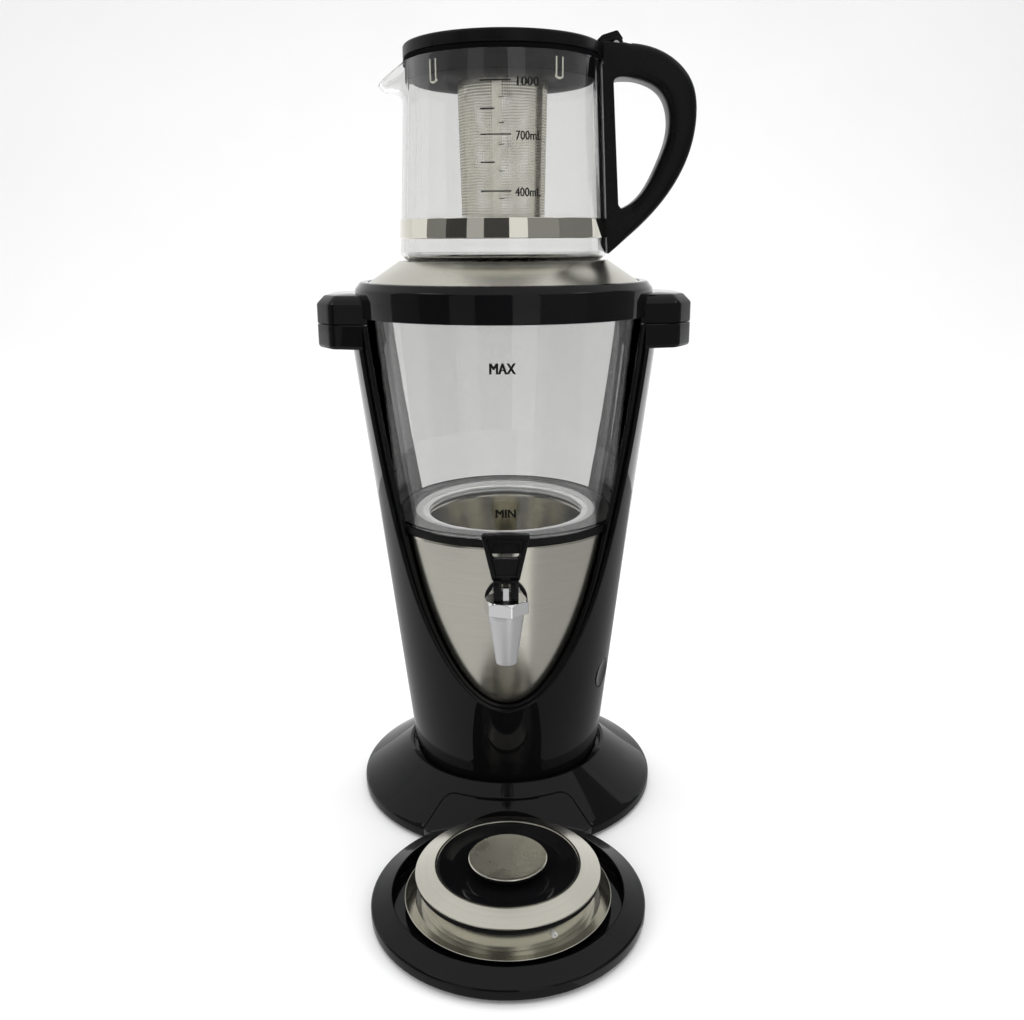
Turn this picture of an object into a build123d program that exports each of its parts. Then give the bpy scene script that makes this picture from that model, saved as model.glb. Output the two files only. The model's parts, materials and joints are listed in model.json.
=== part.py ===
from build123d import *
import os
from math import atan, cos, radians, sin, sqrt

# Electric tea maker: a tapered tower with a glass water tank and a tap, a teapot that stands
# on top to keep warm, and a drip tray in front where the tank's lid lies while the pot is on.
# Millimetres, +Z up. The origin is on the table, on the tower's axis. The front faces -Y.
# A tapered wall is written as a radius at the table plus a growth for each mm of height.

# ---- fits -------------------------------------------------------------------
seam = 0.3  # gap between neighbouring shells
running_fit = 0.05  # radial play of a pin or stem in its bore
press_gap = 0.05  # what is left between two pieces that are pressed together
screw_play = 0.4  # radial play of a screw in a clearance hole
screw_radius = 1.75
screw_head_radius = 3.4
screw_head_height = 1.7
screw_boss_wall = 2.6

# ---- tower's taper ----------------------------------------------------------
tower_base_radius = 59.3  # the taper carried down to the table
tower_taper = 0.117
skin_wall = 3.0
frame_wall = 3.0
rib_height = 3.0  # flanges inside the tower

# ---- foot -------------------------------------------------------------------
pad_height = 2.5
pad_radius = 6.5
pad_inset = 16.0  # from the foot's edge to the middle of a pad
plate_thickness = 2.0
foot_edge_bottom = 2.0
foot_edge_top = 8.0
foot_slope = 0.686  # rise of the flared top for each mm inwards
foot_wall = 3.0
foot_flare = 31.5  # from the collar out to the foot's edge
foot_screw_inset = 15.0
collar_gap = 2.8  # between the tower and the collar that it stands in
collar_wall = 2.5
ledge_top = 25.0  # the tower stands on this ledge
ledge_width = 14.2
tower_screw_inset = 8.2
tower_screw_length = 9.0
foot_screw_length = 7.5
collar_inner_radius = tower_base_radius + tower_taper * ledge_top + collar_gap
collar_outer_radius = collar_inner_radius + collar_wall
foot_radius = collar_outer_radius + foot_flare
ledge_hole_radius = tower_base_radius + tower_taper * ledge_top - ledge_width

# ---- control board in the foot ----------------------------------------------
board_lift = 3.5  # from the bottom plate up to the board
board_length = 64.0
board_width = 46.0
board_thickness = 1.6
board_post_radius = 3.0
board_post_inset = 4.0
relay_size = (19.0, 16.0, 11.0)
relay_x = 17.5
transformer_size = (20.0, 18.0, 10.0)
transformer_x = -16.0
board_fuse_radius = 2.6
board_fuse_length = 18.0
board_fuse_y = 15.0

# ---- window through the tower -----------------------------------------------
window_bottom_z = 81.0
window_low_z = 114.0
window_low_half_width = 40.0
window_mid_z = 187.0
window_mid_half_width = 66.5
window_side_gap = 8.4  # skin left beside the window where its sides are straight
window_frame_lip = 4.5  # how far the inner frame shows inside the window

# ---- water tank -------------------------------------------------------------
glass_bottom_z = 194.0
glass_height = 136.0
glass_wall = 3.0
glass_foot_gap = 8.0  # from the tower's tapered face in to the glass, at its foot
glass_rim_gap = 10.6  # the same at its rim
glass_floor_wall = 3.5
glass_bead_radius = 2.6
gasket_height = 4.0
gasket_overhang = 0.9
gasket_lip_height = 1.5
gasket_lip_wall = 0.5
seal_seat = 3.0  # from the glass's hole out to the gasket
shell_inset = 7.6  # the steel shell's face lies this far inside the tower's face
steel_wall = 1.0
shell_bottom_z = 65.0
shell_top_lap = 9.0  # how far the shell's top reaches outside the bowl's mouth
bowl_mouth_radius = 51.0
bowl_mouth_gap = 4.5  # from the bowl's mouth out to the glass's hole
bowl_draft = 4.0
bowl_floor_z = 88.0
bowl_corner = 8.0
bowl_lip_groove = 1.0
glass_top_z = glass_bottom_z + glass_height
glass_bottom_radius = tower_base_radius + tower_taper * glass_bottom_z - glass_foot_gap
glass_top_radius = tower_base_radius + tower_taper * glass_top_z - glass_rim_gap
tank_hole_radius = bowl_mouth_radius + bowl_mouth_gap
bowl_floor_radius = bowl_mouth_radius - bowl_draft
shell_top_z = glass_bottom_z - gasket_height
bowl_top_z = shell_top_z - steel_wall
frame_bottom_z = shell_bottom_z - rib_height
frame_flange_width = 12.6
frame_flange_radius = tower_base_radius + tower_taper * frame_bottom_z - frame_flange_width

# ---- heater under the bowl --------------------------------------------------
heater_edge_gap = 9.0  # from the bowl's wall in to the heating plate
heater_thickness = 4.0
element_inner_radius = 27.0
element_outer_radius = 34.0
element_height = 6.0
element_end_radius = 2.2
element_end_spread = 10.0
element_end_length = 14.0
thermostat_radius = 8.0
thermostat_height = 9.0
thermal_fuse_radius = 2.4
thermal_fuse_length = 16.0
thermal_fuse_y = -17.0

# ---- carrying ears, top ring and pot stand ----------------------------------
ear_depth = 17.5  # how far an ear stands out of the tower's face
ear_half_width = 36.0
ear_chamfer_run = 10.4
ear_chamfer_rise = 16.0
ear_corner = 8.0
ear_under_corner = 2.5
ear_top_chamfer = 5.0
ear_lower_height = 14.5
ear_upper_height = 17.0
ear_bracket_drop = 13.0
ear_bracket_reach = 9.0
ear_bracket_inset = 4.0
ear_screw_radius = 1.6
ear_screw_head_radius = 3.2
ear_screw_well_depth = 8.0
ear_screw_well_radius = 3.6
ear_screw_inset = 11.8  # from an ear's outer face to its screws
ear_screw_spread = 15.0
ear_screw_cover = 6.0  # left above a screw's hole
ring_seat_depth = 9.6  # how far the ring reaches down over the glass
ring_height = 20.6
ring_reach = 4.3  # from the glass's rim out to the ring's face
ring_wall = 3.2
ring_edge = 3.4
ring_lip_height = 5.0
ring_seal_height = 1.0
ring_corner = 2.0
ring_small_corner = 0.8
stand_inset = 8.2  # from the ring's face in to the steel stand's foot
stand_sink = 1.8  # how far the stand's foot sits below the ring's top
stand_ledge = 3.9
stand_rise = 13.8
stand_mouth_radius = 49.5
stand_wall = 1.0
stand_neck_depth = 15.0
pot_base_radius = 63.3
stand_top_margin = 0.9
ear_seam_z = glass_top_z - 13.5  # seam between the two halves of each ear
ear_bottom_z = ear_seam_z - ear_lower_height
ear_top_z = ear_seam_z + ear_upper_height
ear_reach = tower_base_radius + tower_taper * ear_seam_z + ear_depth
ring_bottom_z = glass_top_z - ring_seat_depth
ring_top_z = ring_bottom_z + ring_height
ring_radius = glass_top_radius + ring_reach
stand_foot_radius = ring_radius - stand_inset
stand_foot_z = ring_top_z - stand_sink
stand_top_radius = pot_base_radius + stand_top_margin
stand_top_z = stand_foot_z + stand_rise  # the teapot stands at this height
window_side_z = ring_top_z - 41.0  # the window's sides are straight above this height
window_top_half_width = tower_base_radius + tower_taper * window_side_z - window_side_gap

# ---- tap --------------------------------------------------------------------
tap_shank_z = 156.0
tap_shank_radius = 7.5
tap_shank_bore_radius = 3.8
tap_reach = 26.05  # from the steel shell's face out to the tap's axis
tap_gasket_radius = 13.0
tap_gasket_thickness = 3.2
tap_washer_radius = 11.2
tap_washer_thickness = 1.2
tap_nut_across_corners = 24.0
tap_nut_thickness = 5.0
tap_seal_radius = 11.0
tap_seal_thickness = 2.8
tap_thread_end = 2.8  # thread that shows past the nut
nozzle_bottom_z = 126.0
nozzle_tip_radius = 6.1
nozzle_top_radius = 10.3
nozzle_bore_radius = 4.4
chamber_radius = 7.5
chamber_depth = 14.0
bonnet_lift = 2.0  # from the shank's axis up to the bonnet
bonnet_height = 8.0
bonnet_across_flats = 23.3
bonnet_turn = 14.0  # degrees from the front to a corner of the tightened hexagon
bonnet_plug_depth = 1.6
seat_radius = 6.3
seat_height = 4.0
seat_tip_height = 1.4
seat_gap = 0.15
stem_radius = 2.0
stem_disc_radius = 4.6
stem_disc_thickness = 1.0
blade_half_width = 1.6
blade_front = 7.9
blade_back = 2.8
lever_pin_lift = 5.5
lever_pin_radius = 1.2
lever_pin_half_length = 7.9
lever_toe_radius = 1.0  # the lever rolls on its toe, and its hinge line is the toe's centre
lever_heel_radius = 3.0
prong_inner = 2.6
prong_outer = 7.2
prong_front = 7.0
prong_back = 4.2
paddle_lift = 5.5
paddle_height = 27.0
paddle_bottom_width = 16.0
paddle_top_width = 27.4
paddle_thickness = 6.0
paddle_edge = 2.2
paddle_recess = 1.1
paddle_slot_width = 15.3
paddle_slot_height = 8.9
paddle_slot_lift = 17.7
tap_shell_y = -(tower_base_radius + tower_taper * tap_shank_z - shell_inset)
tap_y = tap_shell_y - tap_reach
bonnet_bottom_z = tap_shank_z + bonnet_lift
bonnet_top_z = bonnet_bottom_z + bonnet_height
chamber_floor_z = bonnet_bottom_z - chamber_depth
lever_pin_z = bonnet_top_z + lever_pin_lift
paddle_bottom_z = lever_pin_z + paddle_lift
paddle_top_z = paddle_bottom_z + paddle_height
paddle_slot_z = paddle_bottom_z + paddle_slot_lift

# ---- power button and flex bush ---------------------------------------------
button_z = 89.0
button_azimuth = 64.5  # from the front, towards +X
button_radius = 9.7
button_play = 0.35
button_height = 6.0
button_flange = 1.5
button_flange_thickness = 1.8
button_dish_radius = 60.0
button_dish_depth = 0.8
button_stem_radius = 3.0
button_stem_length = 3.0
carrier_radius = 13.8
carrier_back = 16.0
carrier_front = 5.2
carrier_floor = 1.5
switch_width = 12.0
switch_height = 3.2
switch_stem_radius = 2.2
bush_z = 46.0
bush_radius = 6.5
bush_flange = 2.2
bush_front = 2.6
bush_length = 12.0
cable_radius = 3.4

# ---- tank lid, lying on the dish --------------------------------------------
lid_mouth_play = 0.8  # of the lid's skirt in the stand's mouth
lid_skirt_height = 12.0
lid_skirt_top_width = 18.7
lid_seal_height = 2.8
lid_seal_overhang = 1.3
lid_rim_overhang = 3.4
lid_rim_width = 11.9
lid_rim_edge = 1.4
lid_rim_rise = 4.0
lid_rim_fold = 2.0
lid_dish_edge = 1.5
lid_dish_floor = 1.8
lid_dish_flat_radius = 24.0
knob_radius = 22.0
knob_rise = 8.6
knob_height = 4.0
knob_cap_height = 1.0
knob_post_radius = 9.0
lid_screw_radius = 1.7
lid_screw_head_radius = 3.5
lid_screw_head_height = 2.0
vent_angle = -61.0  # from +X
vent_radius = 1.55
vent_bore_radius = 0.8
vent_length = 3.4

# ---- drip tray --------------------------------------------------------------
tray_edge_top = 8.0
tray_well_edge_z = 13.0
tray_floor_top = 5.0
tray_overlap = 28.2  # how far the tray's disc reaches in over the foot's edge
tray_rim_width = 12.1
tray_foot_step = 2.0
tray_pad_radius = 5.0
tray_pad_inset = 15.1
tongue_back_gap = 11.2  # from the collar out to the back of the tongue
tongue_back_half_angle = 30.0
tongue_side_run = 14.0
tongue_side_rise = 17.0
tongue_corner = 8.0
tray_gap = 0.4
dish_floor_lift = 3.0  # from the tray's floor up to the dish's floor
dish_margin = 3.3  # floor outside the lid's skirt
dish_slope_width = 6.3
dish_rim_rise = 2.4
dish_wall = 1.0
dish_rim_wall = 0.8
dish_foot_radius = 38.0
dish_foot_wall = 1.5
dish_gap = 6.7  # from the dish's rim out to the well's wall
lid_skirt_radius = stand_mouth_radius - lid_mouth_play
lid_rim_radius = lid_skirt_radius + lid_rim_overhang
lid_inner_radius = lid_rim_radius - lid_rim_width
dish_floor_radius = lid_skirt_radius + dish_margin
dish_radius = dish_floor_radius + dish_slope_width
dish_floor_top = tray_floor_top + dish_floor_lift
dish_rim_z = dish_floor_top + dish_rim_rise
tray_well_radius = dish_radius + dish_gap
tray_radius = tray_well_radius + tray_rim_width
tray_y = tray_overlap - foot_radius - tray_radius
tongue_back_radius = collar_inner_radius + tongue_back_gap
lid_skirt_top = dish_floor_top + lid_skirt_height
lid_seal_top = lid_skirt_top + lid_seal_height
lid_rim_z = lid_seal_top + lid_rim_edge
lid_inner_z = lid_rim_z + lid_rim_rise
knob_top_z = lid_seal_top + knob_rise

# ---- teapot -----------------------------------------------------------------
pot_height = 111.5
pot_taper = 0.0466  # loss of radius for each mm of height
pot_wall = 2.5
pot_floor_wall = 3.0
pot_corner = 6.0
band_lift = 13.0
band_height = 11.2
band_wall = 0.9
band_tab_half_width = 6.0
band_tab_reach = 6.0
band_tab_edge = 1.0
spout_reach = 15.4  # from the jug's rim out to the tip
spout_tip_drop = 10.2
spout_root_drop = 4.9
spout_root_inset = 8.1
spout_root_half_width = 17.0
spout_root_half_height = 14.4
spout_tip_half_width = 4.8
spout_tip_half_height = 2.6
holder_play = 0.9  # of the filter holder in the jug's mouth
holder_depth = 10.0
holder_wall = 2.0
holder_floor_wall = 2.0
holder_drain_width = 5.0
holder_drain_height = 6.0
basket_top_radius = 26.8
basket_bottom_radius = 25.2
basket_lift = 24.0  # from the pot stand's top up to the basket's floor
basket_wall = 0.8
basket_flange = 4.0
pot_lid_overhang = 0.3
pot_lid_lift = 3.0  # from the jug's rim up to the lid
pot_lid_thickness = 5.8
pot_lid_plug = 2.5
pot_lid_plug_play = 0.7
pot_lid_wall = 2.0
hinge_reach = 7.6
hinge_lift = 9.8
hinge_pin_radius = 1.7
hinge_knuckle_radius = 4.4
hinge_arm_height = 2.5
hinge_well_radius = 9.6
hinge_well_depth = 7.0
hinge_slot_half_width = 8.8
thumb_height = 5.2
thumb_side_gap = 1.0
handle_half_width = 11.0
handle_top_rise = 10.9  # above the jug's rim
handle_bottom_drop = 9.4  # below the band
handle_reach = 51.6  # from the jug's foot out to the handle's outermost edge
handle_inner_corner = 2.0
pot_rim_z = stand_top_z + pot_height
band_bottom_z = stand_top_z + band_lift
band_top_z = band_bottom_z + band_height
holder_floor_z = pot_rim_z - holder_depth
basket_bottom_z = stand_top_z + basket_lift
pot_lid_bottom_z = pot_rim_z + pot_lid_lift
pot_lid_top_z = pot_lid_bottom_z + pot_lid_thickness
pot_rim_radius = pot_base_radius - pot_taper * pot_height
pot_lid_radius = pot_rim_radius + pot_lid_overhang
holder_radius = pot_rim_radius - pot_wall - holder_play
hinge_x = pot_lid_radius + hinge_reach
hinge_z = pot_rim_z + hinge_lift


# ---- shape helpers ----------------------------------------------------------
def turned(*outline, x=0, y=0):
    """Solid of revolution about a vertical axis, from (radius, height) points."""
    face = make_face(Plane.XZ * Polyline(*outline, close=True))
    return Pos(x, y, 0) * revolve(face, Axis.Z)


def turned_soft(outline, radii, x=0, y=0):
    """As turned, with a rounding radius for each corner of the outline."""
    face = make_face(Plane.XZ * FilletPolyline(*outline, radius=radii, close=True))
    return Pos(x, y, 0) * revolve(face, Axis.Z)


def washer(inner, outer, low, high, x=0, y=0):
    """Upright ring of rectangular section."""
    return turned((inner, low), (outer, low), (outer, high), (inner, high), x=x, y=y)


def rod_z(radius, low, high, x=0, y=0):
    """Upright cylinder."""
    return Pos(x, y, (low + high) / 2) * Cylinder(radius, high - low)


def rod_y(radius, low, high, x=0, z=0):
    """Cylinder that lies front to back."""
    return Pos(x, (low + high) / 2, z) * Rot(90, 0, 0) * Cylinder(radius, high - low)


def rod_x(radius, low, high, y=0, z=0):
    """Cylinder that lies left to right."""
    return Pos((low + high) / 2, y, z) * Rot(0, 90, 0) * Cylinder(radius, high - low)


def block(low, high):
    """Box between two opposite corners."""
    size = [high[i] - low[i] for i in range(3)]
    middle = [(high[i] + low[i]) / 2 for i in range(3)]
    return Pos(*middle) * Box(*size)


def screw(x, y, low, high, radius=screw_radius, head_radius=screw_head_radius):
    """Screw that is driven upwards, with its head at the bottom."""
    head = rod_z(head_radius, low, low + screw_head_height, x, y)
    return head + rod_z(radius, low + screw_head_height / 2, high, x, y)


def on_circle(radius, angles):
    """Points of a circle about the tower's axis, at angles in degrees from +X."""
    return [(radius * cos(radians(a)), radius * sin(radians(a))) for a in angles]


def tower_radius(z, inset=0.0):
    """Radius of the tower's tapered face at a height, or of a face that lies inside it."""
    return tower_base_radius + tower_taper * z - inset


def tower_cone(inset=0.0):
    """The tower's tapered form, filled, or a cone that lies inside it."""
    top = pot_rim_z
    return turned((0, 0), (tower_radius(0, inset), 0), (tower_radius(top, inset), top), (0, top))


def tapered_wall(low, high, outer_inset, inner_inset):
    """Wall between two cones that both follow the tower's taper."""
    return turned(
        (tower_radius(low, inner_inset), low),
        (tower_radius(low, outer_inset), low),
        (tower_radius(high, outer_inset), high),
        (tower_radius(high, inner_inset), high),
    )


def pot_radius(z, inset=0.0):
    """Outer radius of the teapot's glass at a height, or of a face inside it."""
    return pot_base_radius - pot_taper * (z - stand_top_z) - inset


# ---- foot -------------------------------------------------------------------
def foot_surface_z(radius):
    """Height of the flared top at a distance from the tower's axis."""
    return foot_edge_top + foot_slope * (foot_radius - radius)


def foot_outline_solid():
    """The foot's outer form, filled."""
    top = foot_surface_z(collar_outer_radius)
    return turned(
        (0, foot_edge_bottom),
        (foot_radius, foot_edge_bottom),
        (foot_radius, foot_edge_top),
        (collar_outer_radius, top),
        (0, top),
    )


def tray_plan(grow):
    """Plan of the drip tray: its disc and the tongue that reaches into the foot, grown all round."""
    half = radians(tongue_back_half_angle)
    back_x, back_y = tongue_back_radius * sin(half), -tongue_back_radius * cos(half)
    side_x, side_y = back_x + tongue_side_run, back_y - tongue_side_rise
    arc = ThreePointArc((-back_x, back_y), (0, -tongue_back_radius), (back_x, back_y))
    sides = Polyline(
        (back_x, back_y),
        (side_x, side_y),
        (side_x, tray_y),
        (-side_x, tray_y),
        (-side_x, side_y),
        (-back_x, back_y),
    )
    tongue = make_face(Curve() + [arc, sides])
    corners = tongue.vertices().filter_by(lambda v: abs(v.Y - back_y) < 0.01)
    plan = fillet(corners, tongue_corner) + Pos(0, tray_y) * Circle(tray_radius)
    return offset(plan, grow) if grow else plan


def tray_prism(grow, low, high):
    """The tray's plan as a prism, for the tray itself and for its socket in the foot."""
    return Pos(0, 0, low) * extrude(tray_plan(grow), high - low)


def foot_screw_spots():
    return on_circle(foot_radius - foot_screw_inset, (45, 135, 222, 318))


def tower_screw_spots():
    return on_circle(tower_radius(ledge_top) - tower_screw_inset, (90, 210, 330))


def foot_parts():
    """Flared shell, bottom plate, rubber pads and screws."""
    roof = foot_wall / cos(atan(foot_slope))
    ledge_under = ledge_top - foot_wall
    under_radius = foot_radius - (ledge_under + roof - foot_edge_top) / foot_slope
    inner_radius = foot_radius - foot_wall
    hollow = turned(
        (0, 0),
        (inner_radius, 0),
        (inner_radius, foot_surface_z(inner_radius) - roof),
        (under_radius, ledge_under),
        (0, ledge_under),
    )
    collar_top = foot_surface_z(collar_outer_radius)
    recess = rod_z(collar_inner_radius, ledge_top, collar_top + 1)
    outer = foot_outline_solid()
    shell = outer - hollow - recess - rod_z(ledge_hole_radius, 0, ledge_top + 1)
    plate_top = pad_height + plate_thickness
    wall = tray_prism(tray_gap + foot_wall, plate_top + seam, collar_top)
    shell += (wall & outer) - recess
    shell -= tray_prism(tray_gap, 0, collar_top + 1)
    screw_end = plate_top + foot_screw_length
    boss_radius = screw_radius + screw_boss_wall
    for x, y in foot_screw_spots():
        shell += rod_z(boss_radius, plate_top, screw_end + foot_wall, x, y) & outer
        shell -= rod_z(screw_radius, plate_top - 1, screw_end + screw_play, x, y)
    for x, y in tower_screw_spots():
        shell -= rod_z(screw_radius + screw_play, ledge_under - 1, ledge_top + 1, x, y)

    plate = rod_z(inner_radius - seam, pad_height, plate_top)
    plate -= tray_prism(tray_gap + foot_wall + seam, 0, plate_top + 1)
    for x, y in foot_screw_spots():
        plate -= rod_z(screw_radius + screw_play, 0, plate_top + 1, x, y)
    for x, y in board_post_spots():
        plate += rod_z(board_post_radius, plate_top - seam, plate_top + board_lift, x, y)

    pad_spots = [(0, 0), *on_circle(foot_radius - pad_inset, (0, 90, 180, 232, 308))]
    pads = [rod_z(pad_radius, 0, pad_height, x, y) for x, y in pad_spots]
    low = pad_height - screw_head_height
    plate_screws = [screw(x, y, low, screw_end) for x, y in foot_screw_spots()]
    low = ledge_under - screw_head_height
    ledge_screws = [screw(x, y, low, ledge_top + tower_screw_length) for x, y in tower_screw_spots()]
    return {
        "foot_shell": shell,
        "foot_plate": plate,
        "foot_pads": Compound(pads),
        "foot_screws": Compound(plate_screws),
        "tower_screws": Compound(ledge_screws),
    }


# ---- control board in the foot ------------------------------------------------
def board_post_spots():
    x, y = board_length / 2 - board_post_inset, board_width / 2 - board_post_inset
    return [(x, y), (-x, y), (-x, -y), (x, -y)]


def board_parts():
    """Circuit board on the bottom plate's four posts, with its relay, transformer and fuse."""
    low = pad_height + plate_thickness + board_lift
    top = low + board_thickness
    board = block((-board_length / 2, -board_width / 2, low), (board_length / 2, board_width / 2, top))
    relay = Pos(relay_x, 0, top + relay_size[2] / 2) * Box(*relay_size)
    transformer = Pos(transformer_x, 0, top + transformer_size[2] / 2) * Box(*transformer_size)
    half = board_fuse_length / 2
    fuse = rod_x(board_fuse_radius, -half, half, board_fuse_y, top + board_fuse_radius + board_thickness / 2)
    clip = Pos(0, board_fuse_y, top + board_fuse_radius / 2)
    clip *= Box(board_fuse_length, board_fuse_radius, board_fuse_radius)
    return {"control_board": board + relay + transformer + fuse + clip}


# ---- tower --------------------------------------------------------------------
def window_cutter(lip):
    """Prism, front to back, of the tall window: a rounded bottom that widens with the tower.

    lip narrows it all round, for the inner frame that shows inside the outer skin's edge.
    """
    bottom = window_bottom_z + lip / 3
    side_x = window_top_half_width - lip
    top_x = side_x + tower_taper * (ring_top_z - window_side_z)
    right = Spline(
        (0, bottom),
        (window_low_half_width - lip / 2, window_low_z),
        (window_mid_half_width - lip, window_mid_z),
        (side_x, window_side_z),
        tangents=[(1, 0), (tower_taper, 1)],
    )
    side = Line((side_x, window_side_z), (top_x, ring_top_z))
    left = mirror(Curve() + [right, side], Plane.YZ)
    lid = Line((top_x, ring_top_z), (-top_x, ring_top_z))
    face = make_face(Plane.XZ * (Curve() + [right, side, *left.edges(), lid]))
    return extrude(face, 2 * ring_radius, both=True)


def ear_plan(side):
    """Plan of one carrying ear: a block with its outer corners cut back."""
    inner = tower_radius(ear_seam_z) - 2 * ear_depth
    shoulder = ear_reach - ear_chamfer_run
    flat = ear_half_width - ear_chamfer_rise
    points = [
        (inner, -ear_half_width),
        (shoulder, -ear_half_width),
        (ear_reach, -flat),
        (ear_reach, flat),
        (shoulder, ear_half_width),
        (inner, ear_half_width),
    ]
    corner = ear_corner
    outline = FilletPolyline(*points, radius=[0, corner, corner, corner, corner, 0], close=True)
    face = make_face(outline)
    return face if side > 0 else mirror(face, Plane.YZ)


def ear_rim(ear, z):
    """Edges round an ear's flat top or underside, leaving out the edge inside the tower."""
    rim = ear.edges().filter_by(lambda e: abs(e.center().Z - z) < 0.01)
    return rim.filter_by(lambda e: abs(e.center().X) > tower_radius(z) - ear_depth)


def ear_screw_spots():
    x = ear_reach - ear_screw_inset
    return [(side * x, y) for side in (-1, 1) for y in (-ear_screw_spread, ear_screw_spread)]


def lower_ear(side):
    """Lower half of an ear, with a curved bracket under it that runs into the arm."""
    ear = Pos(0, 0, ear_bottom_z) * extrude(ear_plan(side), ear_lower_height)
    ear = fillet(ear_rim(ear, ear_bottom_z), ear_under_corner)
    start, end = ear_bottom_z - ear_bracket_drop, ear_bottom_z + seam
    inner = tower_radius(start) - skin_wall / 2
    outer = tower_radius(end) + ear_bracket_reach
    curve = ThreePointArc(
        (inner, start),
        (tower_radius(end) + ear_bracket_reach / 4, end - ear_bracket_drop * 0.42),
        (outer, end),
    )
    rest = Polyline((outer, end), (inner, end), (inner, start))
    bracket = revolve(make_face(Plane.XZ * (Curve() + [curve, rest])), Axis.Z)
    half = ear_half_width - ear_bracket_inset
    low_x, high_x = sorted((0, side * ear_reach * 1.2))
    return ear + (bracket & block((low_x, -half, start - 1), (high_x, half, end + 1)))


def housing_parts():
    """Outer skin with its two arms and ear halves, the inner frame, and the bush for the flex."""
    skin = tapered_wall(ledge_top, ear_seam_z, 0, skin_wall) - window_cutter(0)
    skin += (lower_ear(1) + lower_ear(-1)) - tower_cone(skin_wall)
    foot_face = tower_radius(ledge_top, skin_wall / 2)
    skin += washer(ledge_hole_radius + 1, foot_face, ledge_top, ledge_top + rib_height)
    shelf_face = tower_radius(frame_bottom_z, skin_wall / 2)
    skin += washer(frame_flange_radius + 2, shelf_face, frame_bottom_z - rib_height, frame_bottom_z)
    screw_top = ledge_top + tower_screw_length
    for x, y in tower_screw_spots():
        skin += rod_z(screw_radius + screw_boss_wall, ledge_top, screw_top + rib_height, x, y)
        skin -= rod_z(screw_radius, ledge_top - 1, screw_top + screw_play, x, y)
    for x, y in ear_screw_spots():
        skin -= rod_z(ear_screw_well_radius, ear_bottom_z - 1, ear_bottom_z + ear_screw_well_depth, x, y)
        skin -= rod_z(ear_screw_radius + screw_play, ear_bottom_z, ear_seam_z + 1, x, y)
    skin -= button_place() * Cylinder(button_radius + button_play, 4 * skin_wall)
    skin -= rod_y(bush_radius, 0, foot_radius, 0, bush_z)

    gap = skin_wall + seam
    frame = tapered_wall(frame_bottom_z, ear_seam_z - seam, gap, gap + frame_wall)
    frame -= window_cutter(window_frame_lip)
    flange_face = tower_radius(frame_bottom_z, gap + seam)
    frame += washer(frame_flange_radius, flange_face, frame_bottom_z, shell_bottom_z)
    frame -= button_place() * Cylinder(carrier_radius + seam, 4 * carrier_back)

    bush_face = tower_radius(bush_z) + bush_front
    bush = rod_y(bush_radius + bush_flange, bush_face - 2 * bush_front, bush_face, 0, bush_z) - tower_cone()
    bush += rod_y(bush_radius - running_fit, bush_face - bush_length, bush_face, 0, bush_z)
    bush -= rod_y(cable_radius, 0, foot_radius, 0, bush_z)
    return {"housing": skin, "inner_frame": frame, "cable_bush": bush}


def ring_parts():
    """Top ring with the upper ear halves, its seal on the glass, and the ear screws."""
    inner = ring_radius - ring_wall
    lip = glass_top_radius - glass_wall - glass_bead_radius / 3
    lip_bottom = glass_top_z - ring_lip_height
    seal_height = ring_seal_height
    seat = stand_foot_radius + seam
    ledge = stand_foot_radius - stand_ledge
    small = ring_small_corner
    ring = turned_soft(
        [
            (inner, ring_bottom_z),
            (ring_radius, ring_bottom_z),
            (ring_radius + seam, ring_top_z - ring_edge),
            (ring_radius - ring_edge, ring_top_z),
            (seat, ring_top_z),
            (seat, stand_foot_z),
            (ledge, stand_foot_z),
            (ledge, lip_bottom),
            (lip, lip_bottom),
            (lip, glass_top_z + seal_height),
            (inner, glass_top_z + seal_height),
        ],
        [0, small, ring_corner, ring_corner, 0, 0, 0, small, small, 0, 0],
    )
    keep_out = rod_z(inner + 1, ear_seam_z - 1, ear_top_z + 1)
    for side in (-1, 1):
        ear = Pos(0, 0, ear_seam_z + seam) * extrude(ear_plan(side), ear_upper_height - seam)
        ring += chamfer(ear_rim(ear, ear_top_z), ear_top_chamfer) - keep_out
    for x, y in ear_screw_spots():
        ring -= rod_z(ear_screw_radius, ear_seam_z - 1, ear_top_z - ear_screw_cover, x, y)
    seal = washer(lip + seam, inner - seam, glass_top_z, glass_top_z + seal_height)
    head_z = ear_bottom_z + ear_screw_well_depth - screw_head_height
    end_z = ear_top_z - ear_screw_cover - screw_play
    screws = [
        screw(x, y, head_z, end_z, ear_screw_radius, ear_screw_head_radius) for x, y in ear_screw_spots()
    ]
    return {"top_ring": ring, "glass_rim_seal": seal, "ear_screws": Compound(screws)}


def stand_parts():
    """Pressed steel cone that the teapot stands on, with the tank's filling neck in the middle."""
    wall = stand_wall
    bottom = stand_foot_z
    neck_bottom = stand_top_z - stand_neck_depth
    stand = turned(
        (stand_foot_radius, bottom),
        (stand_foot_radius, bottom + wall),
        (stand_top_radius, stand_top_z),
        (stand_mouth_radius, stand_top_z),
        (stand_mouth_radius, neck_bottom),
        (stand_mouth_radius + wall, neck_bottom),
        (stand_mouth_radius + wall, stand_top_z - wall),
        (stand_top_radius - wall / 2, stand_top_z - wall),
        (stand_foot_radius - 1.9 * wall, bottom),
    )
    return {"pot_stand": stand}


# ---- water tank -----------------------------------------------------------------
def bowl_radius(z):
    """Inner radius of the bowl's sloping wall at a height."""
    return bowl_floor_radius + bowl_draft * (z - bowl_floor_z) / (bowl_top_z - bowl_floor_z)


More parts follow.
